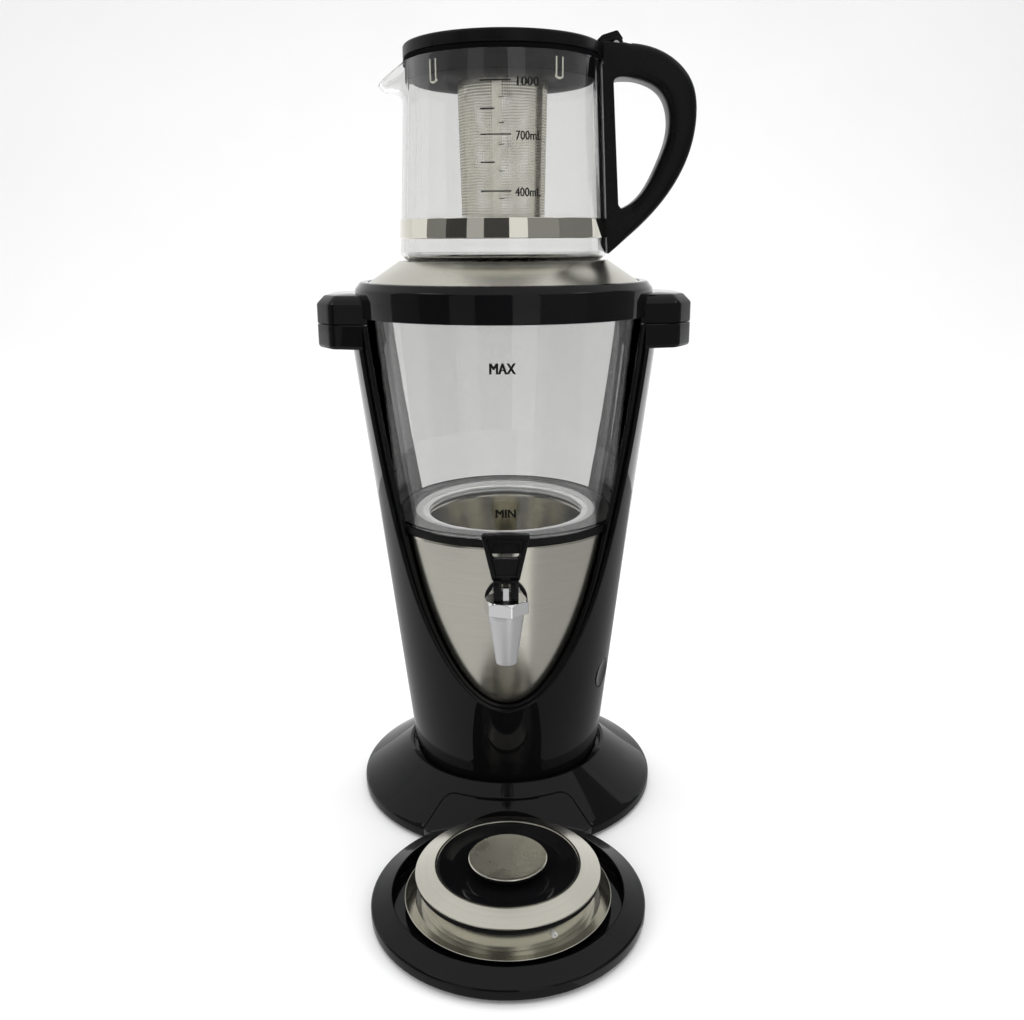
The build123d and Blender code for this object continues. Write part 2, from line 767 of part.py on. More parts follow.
def bowl_solids():
    """Outer and inner form of the drawn bowl, both filled."""
    forms = []
    for wall in (steel_wall, 0):
        floor_z, floor_radius = bowl_floor_z - wall, bowl_floor_radius + wall
        mouth_radius = bowl_mouth_radius + wall
        outline = [(0, floor_z), (floor_radius, floor_z), (mouth_radius, bowl_top_z), (0, bowl_top_z)]
        forms.append(turned_soft(outline, [0, bowl_corner + wall, 0, 0]))
    return forms


def tank_parts():
    """Glass tank, its gaskets, and the steel bowl and shell under it."""
    z = glass_bottom_z
    floor = z + glass_floor_wall
    glass = turned_soft(
        [
            (tank_hole_radius, z),
            (glass_bottom_radius, z),
            (glass_top_radius, glass_top_z),
            (glass_top_radius - glass_wall, glass_top_z),
            (glass_bottom_radius - glass_wall + seam, floor),
            (tank_hole_radius, floor),
        ],
        [0, 1.5, 1.2, 1.2, 3, 0],
    )
    bead = Plane.XZ * Pos(tank_hole_radius, z + glass_bead_radius) * Circle(glass_bead_radius)
    glass += revolve(bead, Axis.Z)

    face_radius = glass_bottom_radius + gasket_overhang
    seat_radius = tank_hole_radius + seal_seat
    gasket = washer(seat_radius, face_radius, shell_top_z, z)
    lip_top = z + gasket_lip_height
    gasket += washer(face_radius - gasket_lip_wall, face_radius, z, lip_top)

    lip = bowl_mouth_radius - bowl_lip_groove / 2
    groove = lip + bowl_lip_groove
    seal_top = z - seam
    seal = washer(lip, seat_radius - seam, shell_top_z, seal_top)
    for level in (1, 3):
        seal -= washer(lip - 1, groove, seal_top - level - 1, seal_top - level + 0.1)

    wall_inset = shell_inset + steel_wall
    shell = tapered_wall(shell_bottom_z, shell_top_z, shell_inset, wall_inset)
    shell += washer(
        bowl_mouth_radius + shell_top_lap, tower_radius(bowl_top_z, wall_inset) + seam, bowl_top_z, shell_top_z
    )
    shank_hole = rod_y(tap_shank_radius + seam, tap_y, 0, 0, tap_shank_z)
    shell -= shank_hole
    shell -= button_place() * Cylinder(carrier_radius + seam, 3 * carrier_back)

    outside, inside = bowl_solids()
    bowl = outside - inside
    flange_radius = tower_radius(bowl_top_z, wall_inset) - 2 * seam
    bowl += washer(bowl_mouth_radius, flange_radius, bowl_top_z - steel_wall, bowl_top_z)
    bowl -= shank_hole
    return {
        "glass_tank": glass,
        "tank_gasket": gasket,
        "bowl_seal": seal,
        "steel_shell": shell,
        "water_bowl": bowl,
        **heater_parts(),
    }


def heater_parts():
    """Heating plate under the bowl, its ring-shaped element, the thermostat and the fuse."""
    plate_top = bowl_floor_z - steel_wall
    under = plate_top - heater_thickness
    plate = rod_z(bowl_floor_radius - heater_edge_gap, under, plate_top)
    element = washer(element_inner_radius, element_outer_radius, under - element_height, under)
    middle = (element_inner_radius + element_outer_radius) / 2
    half = element_end_spread - element_end_radius
    element -= block((-half, 0, 0), (half, element_outer_radius + 1, under + 1))
    end_y = sqrt(middle**2 - element_end_spread**2)
    for x in (-element_end_spread, element_end_spread):
        element += rod_z(element_end_radius, under - element_end_length, under - 1, x, end_y)
    thermostat = rod_z(thermostat_radius, under - thermostat_height, under)
    tab_x, tab_y = thermostat_radius * 1.75, thermostat_radius * 0.375
    thermostat += block((-tab_x, -tab_y, under - 3), (tab_x, tab_y, under - 1.5))
    half_length = thermal_fuse_length / 2
    fuse_z = under - thermal_fuse_radius - 0.6
    fuse = rod_x(thermal_fuse_radius, -half_length, half_length, thermal_fuse_y, fuse_z)
    fuse += Pos(0, thermal_fuse_y, under - thermal_fuse_radius / 2) * Box(
        thermal_fuse_length, thermal_fuse_radius * 1.6, thermal_fuse_radius
    )
    return {
        "heater_plate": plate,
        "heating_element": element,
        "thermostat": thermostat,
        "thermal_fuse": fuse,
    }


# ---- tap ------------------------------------------------------------------------
def tap_parts():
    """Tap body with its shank, gasket and nut, and the valve and lever on top."""
    body = turned_soft(
        [
            (nozzle_bore_radius, nozzle_bottom_z),
            (nozzle_tip_radius, nozzle_bottom_z),
            (nozzle_top_radius, bonnet_bottom_z - 3),
            (nozzle_top_radius, bonnet_bottom_z),
            (nozzle_bore_radius, bonnet_bottom_z),
        ],
        [0, 0.8, 0, 0.6, 0],
        y=tap_y,
    )
    wall_y = -bowl_radius(tap_shank_z)
    nut_y = wall_y + tap_seal_thickness
    shank_end = nut_y + tap_nut_thickness + tap_thread_end
    shank = rod_y(tap_shank_radius, tap_y + nozzle_bore_radius, shank_end, 0, tap_shank_z)
    shank -= rod_z(bonnet_across_flats / 2 + 2, bonnet_bottom_z, bonnet_top_z, 0, tap_y)
    body += shank
    body -= rod_z(nozzle_bore_radius, nozzle_bottom_z - 1, bonnet_bottom_z + 1, 0, tap_y)
    body -= rod_z(chamber_radius, chamber_floor_z, bonnet_bottom_z + 1, 0, tap_y)
    body -= rod_y(tap_shank_bore_radius, tap_y, shank_end + 1, 0, tap_shank_z - tap_thread_end)

    hole = rod_y(tap_shank_radius + running_fit, tap_y, 0, 0, tap_shank_z)
    gasket_face = tap_shell_y - tap_gasket_thickness
    gasket = rod_y(tap_gasket_radius, gasket_face, tap_shell_y + 2 * tap_gasket_thickness, 0, tap_shank_z)
    gasket -= tower_cone(shell_inset - press_gap) + hole
    washer_face = gasket_face - tap_washer_thickness
    tap_washer = rod_y(tap_washer_radius, washer_face, gasket_face, 0, tap_shank_z) - hole

    inside = bowl_solids()[1]
    inner_seal = (rod_y(tap_seal_radius, wall_y - tap_seal_thickness, nut_y, 0, tap_shank_z) & inside) - hole
    nut = extrude(RegularPolygon(tap_nut_across_corners / 2, 6), tap_nut_thickness)
    nut = Pos(0, nut_y, tap_shank_z) * Rot(-90, 0, 0) * nut - hole
    return {
        "tap_body": body,
        "tap_gasket": gasket,
        "tap_washer": tap_washer,
        "tap_inner_seal": inner_seal,
        "tap_nut": nut,
        **valve_parts(),
        **lever_parts(),
    }


def valve_parts():
    """Hexagonal bonnet, and under it the spring that holds the stem's seat on the nozzle's mouth."""
    hexagon = RegularPolygon(bonnet_across_flats / 2, 6, major_radius=False, rotation=bonnet_turn - 90)
    prism = extrude(hexagon, bonnet_height)
    corner = bonnet_across_flats / sqrt(3)
    cap = turned(
        (0, 0),
        (corner + 1, 0),
        (corner + 1, bonnet_height - 1.4),
        (corner - 1.6, bonnet_height),
        (0, bonnet_height),
    )
    bonnet = Pos(0, tap_y, bonnet_bottom_z) * (prism & cap)
    plug_bottom = bonnet_bottom_z - bonnet_plug_depth
    bonnet += rod_z(chamber_radius - running_fit, plug_bottom, bonnet_bottom_z, 0, tap_y)
    bonnet -= rod_z(stem_radius + running_fit, plug_bottom - 1, bonnet_top_z + 1, 0, tap_y)

    seat_bottom = chamber_floor_z + seat_gap
    shoulder = seat_bottom + seat_height
    stem_bottom = shoulder + seat_tip_height
    seat = turned(
        (0, seat_bottom),
        (seat_radius, seat_bottom),
        (seat_radius, shoulder),
        (seat_radius * 0.8, shoulder),
        (seat_radius * 0.54, stem_bottom),
        (0, stem_bottom),
        y=tap_y,
    )
    disc_top = stem_bottom + stem_disc_thickness
    blade_bottom = bonnet_top_z + seam
    half = blade_half_width
    stem = rod_z(stem_disc_radius, stem_bottom, disc_top, 0, tap_y)
    stem += rod_z(stem_radius, stem_bottom, blade_bottom + 1, 0, tap_y)
    slot_z = lever_pin_radius + 0.6
    slot_front, slot_back = blade_front - 1.4, blade_back - 1.4
    stem += block(
        (-half, tap_y - blade_front, blade_bottom), (half, tap_y + blade_back, lever_pin_z + slot_z + 1.3)
    )
    stem -= block(
        (-half - 1, tap_y - slot_front, lever_pin_z - slot_z),
        (half + 1, tap_y + slot_back, lever_pin_z + slot_z),
    )
    spring = washer(stem_disc_radius - 1.4, stem_disc_radius - 0.2, disc_top, plug_bottom, y=tap_y)
    return {"tap_bonnet": bonnet, "tap_stem": stem, "tap_seat": seat, "tap_spring": spring}


def lever_parts():
    """Flip lever: a fork that rolls on the bonnet, a tapered paddle with a slot, and its pin."""
    half_low, half_high = paddle_bottom_width / 2, paddle_top_width / 2
    outline = FilletPolyline(
        (-half_low, paddle_bottom_z),
        (half_low, paddle_bottom_z),
        (half_high, paddle_top_z),
        (-half_high, paddle_top_z),
        radius=[1.5, 1.5, 3.5, 3.5],
        close=True,
    )
    front, back = tap_y - paddle_thickness / 2, tap_y + paddle_thickness / 2
    lever = Pos(0, back, 0) * extrude(make_face(Plane.XZ * outline), paddle_thickness)
    recess = make_face(Plane.XZ * offset(outline, -paddle_edge))
    lever -= Pos(0, front + paddle_recess, 0) * extrude(recess, paddle_thickness)
    slot = Pos(0, paddle_slot_z) * RectangleRounded(paddle_slot_width, paddle_slot_height, 1.6)
    lever -= Pos(0, back + 1, 0) * extrude(Plane.XZ * slot, paddle_thickness + 2)
    toe_y = tap_y - prong_front
    for side in (-1, 1):
        low_x, high_x = sorted((side * prong_inner, side * prong_outer))
        prong = block((low_x, toe_y, bonnet_top_z + seam), (high_x, tap_y + prong_back, paddle_bottom_z + 1.5))
        for y, radius in ((tap_y + prong_back, lever_heel_radius), (toe_y, lever_toe_radius)):
            edges = prong.edges().filter_by(Axis.X).filter_by(lambda e: e.center().Z < lever_pin_z)
            prong = fillet(edges.sort_by(lambda e: abs(e.center().Y - y))[:1], radius)
        lever += prong
    reach = lever_pin_half_length
    lever -= rod_x(lever_pin_radius, -2 * reach, 2 * reach, tap_y, lever_pin_z)
    return {"tap_lever": lever, "tap_lever_pin": rod_x(lever_pin_radius, -reach, reach, tap_y, lever_pin_z)}


# ---- power button -----------------------------------------------------------------
def button_place():
    """Plane on the tower's face at the button, with Z straight out of the wall."""
    azimuth = radians(button_azimuth)
    radius = tower_radius(button_z)
    tilt = atan(tower_taper)
    out = (sin(azimuth) * cos(tilt), -cos(azimuth) * cos(tilt), -sin(tilt))
    spot = (radius * sin(azimuth), -radius * cos(azimuth), button_z)
    return Plane(origin=spot, x_dir=(cos(azimuth), sin(azimuth), 0), z_dir=out).location


def button_parts():
    """Push button, the cup that carries it, and its switch."""
    place = button_place()
    dish = Pos(0, 0, button_dish_radius - button_dish_depth) * Sphere(button_dish_radius)
    flange_bottom = -button_height - running_fit
    stem_end = -button_height - button_stem_length
    button = rod_z(button_radius, -button_height, 0) - dish
    button += rod_z(button_radius + button_flange, flange_bottom, flange_bottom + button_flange_thickness)
    button += rod_z(button_stem_radius, stem_end, -button_height)
    floor = carrier_floor - carrier_back
    carrier = rod_z(carrier_radius, -carrier_back, -carrier_front)
    carrier -= rod_z(button_radius + button_flange + seam, floor, 0)
    switch = Pos(0, 0, floor + switch_height / 2) * Box(switch_width, switch_width, switch_height)
    switch += rod_z(switch_stem_radius, floor + switch_height / 2, floor + switch_height)
    return {
        "power_button": place * button,
        "button_carrier": place * carrier,
        "power_switch": place * switch,
    }


# ---- drip tray ----------------------------------------------------------------------
def tray_parts():
    """Tray with a tongue that fits the foot, its pads, and the loose steel dish."""
    step_radius = tray_radius - tray_foot_step
    rim = turned_soft(
        [
            (0, pad_height),
            (step_radius, pad_height),
            (step_radius, foot_edge_bottom),
            (tray_radius, foot_edge_bottom),
            (tray_radius, tray_edge_top),
            (tray_well_radius, tray_well_edge_z),
            (0, tray_well_edge_z),
        ],
        [0, 0, 0, 0, 1.2, 0, 0],
        y=tray_y,
    )
    tongue = tray_prism(0, pad_height, ledge_top + foot_radius * foot_slope) & foot_outline_solid()
    well = rod_z(tray_well_radius, tray_floor_top, ledge_top + tray_well_edge_z, 0, tray_y)
    pad_spots = on_circle(tray_radius - tray_pad_inset, (30, 150, 270))
    pads = [rod_z(tray_pad_radius, 0, pad_height, x, y + tray_y) for x, y in pad_spots]
    base_z = dish_floor_top - dish_wall
    foot_outer = dish_foot_radius + dish_foot_wall
    dish = turned(
        (0, base_z),
        (dish_foot_radius, base_z),
        (dish_foot_radius, tray_floor_top),
        (foot_outer, tray_floor_top),
        (foot_outer, base_z),
        (dish_floor_radius, base_z),
        (dish_radius, dish_rim_z - dish_wall),
        (dish_radius, dish_rim_z),
        (dish_radius - dish_rim_wall, dish_rim_z),
        (dish_floor_radius, dish_floor_top),
        (0, dish_floor_top),
        y=tray_y,
    )
    return {"tray_base": rim + tongue - well, "tray_pads": Compound(pads), "drip_dish": dish}


# ---- tank lid -------------------------------------------------------------------------
def tank_lid_parts():
    """Lid of the water tank: steel skirt and rim, seal, black dish and knob."""
    wall = steel_wall
    low, top, seal_top = dish_floor_top, lid_skirt_top, lid_seal_top
    skirt = washer(lid_skirt_radius - wall, lid_skirt_radius, low, top, y=tray_y)
    skirt += washer(lid_skirt_radius - lid_skirt_top_width, lid_skirt_radius, top - wall, top, y=tray_y)
    turn = radians(vent_angle)
    vent_place = Pos(lid_skirt_radius * cos(turn), tray_y + lid_skirt_radius * sin(turn), (low + top) / 2)
    vent_place *= Rot(0, 0, vent_angle) * Rot(0, 90, 0)
    skirt -= vent_place * Cylinder(vent_radius + running_fit, 2 * vent_length)
    vent = vent_place * (Cylinder(vent_radius, vent_length) - Cylinder(vent_bore_radius, 2 * vent_length))
    seal_inner = lid_inner_radius - lid_seal_height * 2
    seal_edge = lid_skirt_radius + lid_seal_overhang
    seal = turned(
        (seal_inner, top),
        (seal_edge, top),
        (seal_edge - 0.6, (top + seal_top) / 2),
        (seal_edge, seal_top),
        (seal_inner, seal_top),
        y=tray_y,
    )
    rim = turned(
        (lid_inner_radius, seal_top),
        (lid_rim_radius - 0.8, seal_top),
        (lid_rim_radius, seal_top + 0.8),
        (lid_rim_radius, lid_rim_z),
        (lid_inner_radius + 0.4, lid_inner_z),
        (lid_inner_radius - 0.6, lid_inner_z),
        (lid_inner_radius - 0.6, lid_inner_z - lid_rim_fold),
        (lid_inner_radius, lid_inner_z - lid_rim_fold),
        y=tray_y,
    )
    dish_radius_outer = lid_inner_radius - 0.6 - seam
    dish_edge_z = lid_inner_z - 1
    knob_bottom = knob_top_z - knob_cap_height - knob_height
    dish = turned(
        (0, seal_top),
        (dish_radius_outer, seal_top),
        (dish_radius_outer, dish_edge_z),
        (dish_radius_outer - lid_dish_edge, dish_edge_z),
        (lid_dish_flat_radius, seal_top + lid_dish_floor),
        (knob_post_radius, seal_top + lid_dish_floor),
        (knob_post_radius, knob_bottom),
        (0, knob_bottom),
        y=tray_y,
    )
    cap_bottom = knob_top_z - knob_cap_height
    knob_face = knob_radius - 0.4
    knob = turned_soft(
        [
            (0, knob_bottom),
            (knob_post_radius - 1, knob_bottom),
            (knob_face, knob_bottom + knob_height * 0.6),
            (knob_face, cap_bottom),
            (0, cap_bottom),
        ],
        [0, 0, 0.5, 0, 0],
        y=tray_y,
    )
    cap = turned_soft(
        [(0, cap_bottom), (knob_radius, cap_bottom), (knob_radius, knob_top_z), (0, knob_top_z)],
        [0, 0, 0.5, 0],
        y=tray_y,
    )
    shank = rod_z(lid_screw_radius, seal_top - 1, cap_bottom - 1.2, 0, tray_y)
    head = rod_z(lid_screw_head_radius, seal_top - lid_screw_head_height, seal_top, 0, tray_y)
    return {
        "tank_lid_skirt": skirt,
        "tank_lid_vent": vent,
        "tank_lid_seal": seal,
        "tank_lid_rim": rim,
        "tank_lid_dish": dish - shank,
        "tank_lid_knob": knob - shank,
        "tank_lid_knob_cap": cap,
        "tank_lid_screw": head + shank,
    }


# ---- teapot -----------------------------------------------------------------------------
def pot_solid(inset, floor, rim):
    """Outer or inner form of the teapot's jug, filled."""
    corner = max(pot_corner - inset, 1)
    return turned_soft(
        [(0, floor), (pot_radius(floor, inset), floor), (pot_radius(rim, inset), rim), (0, rim)],
        [0, corner, 0, 0],
    )


def spout_solid(inset):
    """Outer or inner form of the pouring lip, from the jug's wall to its narrow tip."""
    root_x = -(pot_rim_radius - spout_root_inset)
    tip_x = -(pot_rim_radius + spout_reach) - inset * 0.2
    across = {"x_dir": (0, 1, 0), "z_dir": (-1, 0, 0)}
    root = Plane(origin=(root_x, 0, pot_rim_z - spout_root_drop), **across)
    tip = Plane(origin=(tip_x, 0, pot_rim_z - spout_tip_drop), **across)
    wide = root * Ellipse(spout_root_half_width - inset, spout_root_half_height - inset)
    narrow = tip * Ellipse(spout_tip_half_width - inset / 2, spout_tip_half_height - inset / 2)
    return loft([wide, narrow])


def jug_glass():
    """The jug with its pouring lip, whose edge falls from the rim to the tip."""
    glass = pot_solid(0, stand_top_z, pot_rim_z) + spout_solid(0)
    glass -= pot_solid(pot_wall, stand_top_z + pot_floor_wall, pot_rim_z) + spout_solid(pot_wall)
    inner_x = -(pot_rim_radius - 2 * spout_root_inset)
    tip_x = -(pot_rim_radius + spout_reach) - 2
    tip_z = pot_rim_z - spout_tip_drop + 1
    above = pot_rim_z + spout_root_half_height
    cut = Polyline(
        (inner_x, pot_rim_z),
        (1 - pot_rim_radius, pot_rim_z),
        (tip_x, tip_z),
        (2 * tip_x, tip_z),
        (2 * tip_x, above),
        (inner_x, above),
        close=True,
    )
    return glass - extrude(make_face(Plane.XZ * cut), 2 * spout_root_half_width, both=True)


def handle_outline():
    """Side view of the handle: a D-shaped loop with a straight strap along the jug.

    A point is its share of the handle's reach out from the jug's foot, and of its height.
    """
    low, high = band_bottom_z - handle_bottom_drop, pot_rim_z + handle_top_rise

    def at(out, up):
        return (pot_base_radius + out * handle_reach, low + up * (high - low))

    outer = Spline(
        at(0.145, 1),
        at(0.614, 0.955),
        at(0.940, 0.816),
        at(1, 0.669),
        at(0.922, 0.475),
        at(0.581, 0.226),
        at(0.012, 0),
        tangents=[(1, 0), (-1, -0.8)],
    )
    back = pot_rim_radius - pot_wall
    edge = Polyline(at(0.012, 0), (back, low), (back, high), at(0.145, 1))
    strap_low, strap_high = at(0.120, 0.212), at(0.031, 0.828)
    inner = Spline(
        strap_high,
        at(0.223, 0.838),
        at(0.587, 0.767),
        at(0.684, 0.633),
        at(0.566, 0.437),
        at(0.279, 0.251),
        strap_low,
        tangents=[(0.8, 0.6), (-0.9, -0.5)],
    )
    loop = make_face(Curve() + [inner, Line(strap_low, strap_high)])
    loop = fillet(loop.vertices(), handle_inner_corner)
    return make_face(Curve() + [outer, edge]) - loop


def teapot_parts():
    """Glass jug with its band, handle, hinged lid, filter holder and perforated basket."""
    low, high = band_bottom_z, band_top_z
    jug_face = turned((0, low), (pot_radius(low), low), (pot_radius(high), high), (0, high))
    band_outer = turned(
        (0, low), (pot_radius(low, -band_wall), low), (pot_radius(high, -band_wall), high), (0, high)
    )
    tab_x, tab_y, edge = pot_radius(high) + band_tab_reach, band_tab_half_width, band_tab_edge
    tab = block((pot_radius(high), -tab_y, low + edge), (tab_x, tab_y, high - edge))
    band = band_outer + tab - jug_face

    face_low, face_high = stand_top_z - pot_height / 2, pot_rim_z + pot_height / 2
    keep_out = turned(
        (0, face_low),
        (pot_radius(face_low, -band_wall), face_low),
        (pot_radius(face_high, -band_wall), face_high),
        (0, face_high),
    )
    handle = extrude(Plane.XZ * handle_outline(), handle_half_width, both=True)
    handle -= keep_out
    top = pot_lid_top_z + 3 * hinge_lift
    half = hinge_slot_half_width
    handle -= rod_z(pot_lid_radius + 4 * seam, pot_lid_bottom_z - 4, top)
    handle -= rod_y(hinge_well_radius, -half, half, hinge_x, hinge_z)
    handle -= block((pot_rim_radius / 2, -half, hinge_z - hinge_well_depth), (hinge_x, half, top))
    handle -= rod_y(hinge_pin_radius + press_gap / 2, -2 * half, 2 * half, hinge_x, hinge_z)
    play = seam - 0.1
    handle -= block(
        (pot_rim_radius / 2, -tab_y - play, low + edge - play), (tab_x + play, tab_y + play, high - edge + play)
    )
    pin_half = handle_half_width - play
    return {
        "teapot_glass": jug_glass(),
        "teapot_band": band,
        "teapot_handle": handle,
        "lid_hinge_pin": rod_y(hinge_pin_radius, -pin_half, pin_half, hinge_x, hinge_z),
        **pot_lid_parts(),
        **filter_parts(),
    }


def pot_lid_parts():
    """Flat hinged lid with its thumb piece."""
    low, high = pot_lid_bottom_z, pot_lid_top_z
    plug_radius = holder_radius - holder_wall - pot_lid_plug_play
    plug_bottom = low - pot_lid_plug
    lid = turned_soft(
        [(0, plug_bottom), (plug_radius, plug_bottom), (plug_radius, low), (pot_lid_radius, low),
         (pot_lid_radius, high), (0, high)],
        [0, 0.8, 0, 0.8, 1.6, 0],
    )
    wall = pot_lid_wall
    lid -= turned(
        (0, plug_bottom - 1),
        (plug_radius - wall, plug_bottom - 1),
        (plug_radius - wall, high - 1.75 * wall),
        (plug_radius - 1.75 * wall, high - wall),
        (0, high - wall),
    )
    half = hinge_slot_half_width - seam
    arm_top = hinge_z + hinge_arm_height
    inner_x = pot_lid_radius - 4.4
    arm = block((inner_x, -half, low + press_gap), (hinge_x, half, arm_top))
    top_edge = arm.edges().filter_by(Axis.Y).sort_by(lambda e: e.center().X - e.center().Z)[:1]
    arm = chamfer(top_edge, hinge_arm_height * 1.4)
    lid += arm + rod_y(hinge_knuckle_radius, -half, half, hinge_x, hinge_z)
    lid -= rod_y(hinge_pin_radius + running_fit, -2 * half, 2 * half, hinge_x, hinge_z)
    thumb_bottom = arm_top + press_gap
    outline = FilletPolyline(
        (inner_x + 1.2, thumb_bottom),
        (hinge_x + 0.5, thumb_bottom),
        (hinge_x + 4.9, thumb_bottom - 0.3),
        (hinge_x + 0.9, thumb_bottom + thumb_height),
        (hinge_x - 8.0, thumb_bottom + thumb_height / 2),
        radius=[0, 0, 0.8, 1.5, 2.0],
        close=True,
    )
    thumb = extrude(make_face(Plane.XZ * outline), half - thumb_side_gap, both=True)
    thumb -= rod_y(hinge_knuckle_radius + press_gap, -2 * half, 2 * half, hinge_x, hinge_z)
    return {"teapot_lid": lid, "lid_thumb_piece": thumb}


def filter_parts():
    """Ring that hangs in the jug's mouth and the basket that hangs in the ring."""
    floor = holder_floor_z
    top = pot_lid_bottom_z - seam
    hole = basket_top_radius + seam
    rim_z = floor + holder_floor_wall
    flange = pot_rim_radius + seam
    bore = holder_radius - holder_wall
    holder = washer(hole, holder_radius, floor, rim_z)
    holder += washer(bore, holder_radius, floor, top)
    holder += washer(bore, flange, pot_rim_z, top)
    half = holder_drain_width / 2
    drain = block((bore - 2, -half, rim_z), (flange, half, rim_z + holder_drain_height))
    for angle in (60, 180, 300):
        holder -= Rot(0, 0, angle) * drain
    wall = basket_wall
    basket = turned(
        (0, basket_bottom_z - wall),
        (basket_bottom_radius, basket_bottom_z - wall),
        (basket_top_radius, rim_z),
        (basket_top_radius + basket_flange, rim_z),
        (basket_top_radius + basket_flange, rim_z + wall),
        (basket_top_radius - wall, rim_z + wall),
        (basket_bottom_radius - wall, basket_bottom_z),
        (0, basket_bottom_z),
    )
    return {"filter_holder": holder, "filter_basket": basket}


# ---- write ------------------------------------------------------------------------------
def all_parts():
    return {
        **foot_parts(),
        **board_parts(),
        **housing_parts(),
        **ring_parts(),
        **stand_parts(),
        **tank_parts(),
        **tap_parts(),
        **button_parts(),
        **tray_parts(),
        **tank_lid_parts(),
        **teapot_parts(),
    }


os.makedirs("parts", exist_ok=True)
for name, part in all_parts().items():
    export_step(part, f"parts/{name}.step")
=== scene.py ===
import json
from typing import NamedTuple

import bpy
import numpy as np
from bpy.props import FloatProperty, FloatVectorProperty, IntProperty, PointerProperty
from mathutils import Euler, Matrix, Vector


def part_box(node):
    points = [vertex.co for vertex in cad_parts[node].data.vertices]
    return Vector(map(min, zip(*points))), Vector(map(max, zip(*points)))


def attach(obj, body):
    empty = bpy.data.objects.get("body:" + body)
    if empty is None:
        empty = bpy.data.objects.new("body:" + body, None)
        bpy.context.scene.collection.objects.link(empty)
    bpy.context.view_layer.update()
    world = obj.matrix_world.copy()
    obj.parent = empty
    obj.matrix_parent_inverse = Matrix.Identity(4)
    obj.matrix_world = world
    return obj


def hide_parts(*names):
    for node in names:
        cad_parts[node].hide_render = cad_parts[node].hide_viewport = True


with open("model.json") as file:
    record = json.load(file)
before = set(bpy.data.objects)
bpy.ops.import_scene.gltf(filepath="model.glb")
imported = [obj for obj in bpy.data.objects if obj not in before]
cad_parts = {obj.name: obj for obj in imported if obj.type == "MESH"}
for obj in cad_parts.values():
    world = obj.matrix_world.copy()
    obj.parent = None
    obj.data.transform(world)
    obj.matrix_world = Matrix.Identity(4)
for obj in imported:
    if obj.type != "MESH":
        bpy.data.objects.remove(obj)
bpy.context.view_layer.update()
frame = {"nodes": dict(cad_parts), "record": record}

bl_info = {
    "name": "Electric tea maker",
    "version": (1, 0, 0),
    "blender": (4, 5, 0),
    "location": "3D View > Sidebar > Tea maker",
    "description": "Builds the surfaces and finishes of an electric tea maker round its solid model",
    "category": "Add Mesh",
}

# Metres, +Z up, with the origin on the table under the tower's axis. The front faces -Y.
# Outlines are lists of (radius, height) or (x, y) points whose corners are then rounded.


def low(node):
    """Lowest corner of a solid's box, as an array."""
    return np.array(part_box(node)[0])


def high(node):
    """Highest corner of a solid's box, as an array."""
    return np.array(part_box(node)[1])


# ---- settings ---------------------------------------------------------------
def length(name, description, default):
    """A length in metres that a user can change."""
    return FloatProperty(name=name, description=description, default=float(default), unit="LENGTH", precision=4)


def number(name, description, default):
    """A plain number that a user can change."""
    return FloatProperty(name=name, description=description, default=float(default), precision=4)


def colour(name, description, default):
    """A colour that a user can change."""
    return FloatVectorProperty(
        name=name, description=description, default=default, size=3, subtype="COLOR", min=0.0, max=1.0
    )


class FootSizes(bpy.types.PropertyGroup):
    radius: length("Radius", "Radius of the flared foot at the table", high("foot_plate")[0] + 0.0034)
    edge_bottom: length("Edge bottom", "Height of the foot's lower edge", low("foot_shell")[2])
    edge_top: length("Edge top", "Height where the flare starts", 0.008)
    slope: number("Slope", "Rise of the flare for each metre inwards", 0.686)
    collar_outer: length("Collar outside", "Outer radius of the collar round the tower", 0.0675)
    collar_inner: length("Collar inside", "Inner radius of the collar round the tower", 0.065)
    collar_top: length("Collar top", "Height of the collar", high("foot_shell")[2])
    ledge: length("Ledge", "Height of the ledge that the tower stands on", low("housing")[2])
    wall: length("Wall", "Thickness of the shell", 0.003)


class TowerSizes(bpy.types.PropertyGroup):
    base_radius: length("Base radius", "Radius of the tower's cone carried down to the table", 0.0593)
    taper: number("Taper", "Growth of the radius for each metre of height", 0.117)
    wall: length("Skin", "Thickness of the outer skin", 0.003)
    frame_wall: length("Frame", "Thickness of the inner frame", 0.003)
    seam: length("Seam", "Gap between neighbouring shells", 0.0003)
    window_bottom: length("Window bottom", "Lowest point of the tall window", 0.081)
    window_low: length("Low half width", "Half width of the window 114 mm up", 0.040)
    window_mid: length("Middle half width", "Half width of the window 187 mm up", 0.0665)
    window_top: length("Top half width", "Half width of the window 300 mm up", 0.086)
    lip: length("Lip", "How far the inner frame shows inside the window", 0.0045)
    edge: length("Edge", "Rounding of the window's edges", 0.0007)


class EarSizes(bpy.types.PropertyGroup):
    reach: length("Reach", "Outer face of an ear, from the axis", high("top_ring")[0])
    half_width: length("Half width", "Half of an ear's width, front to back", 0.036)
    corner_run: length("Corner run", "How far the cut corner runs along X", 0.0104)
    corner_rise: length("Corner rise", "How far the cut corner runs along Y", 0.016)
    bottom: length("Bottom", "Underside of the lower ear", 0.302)
    seam: length("Seam height", "Height of the seam between the two halves", high("housing")[2])
    top: length("Top", "Top of the upper ear", 0.3335)
    bevel: length("Bevel", "Width of the upper ear's bevel", 0.005)


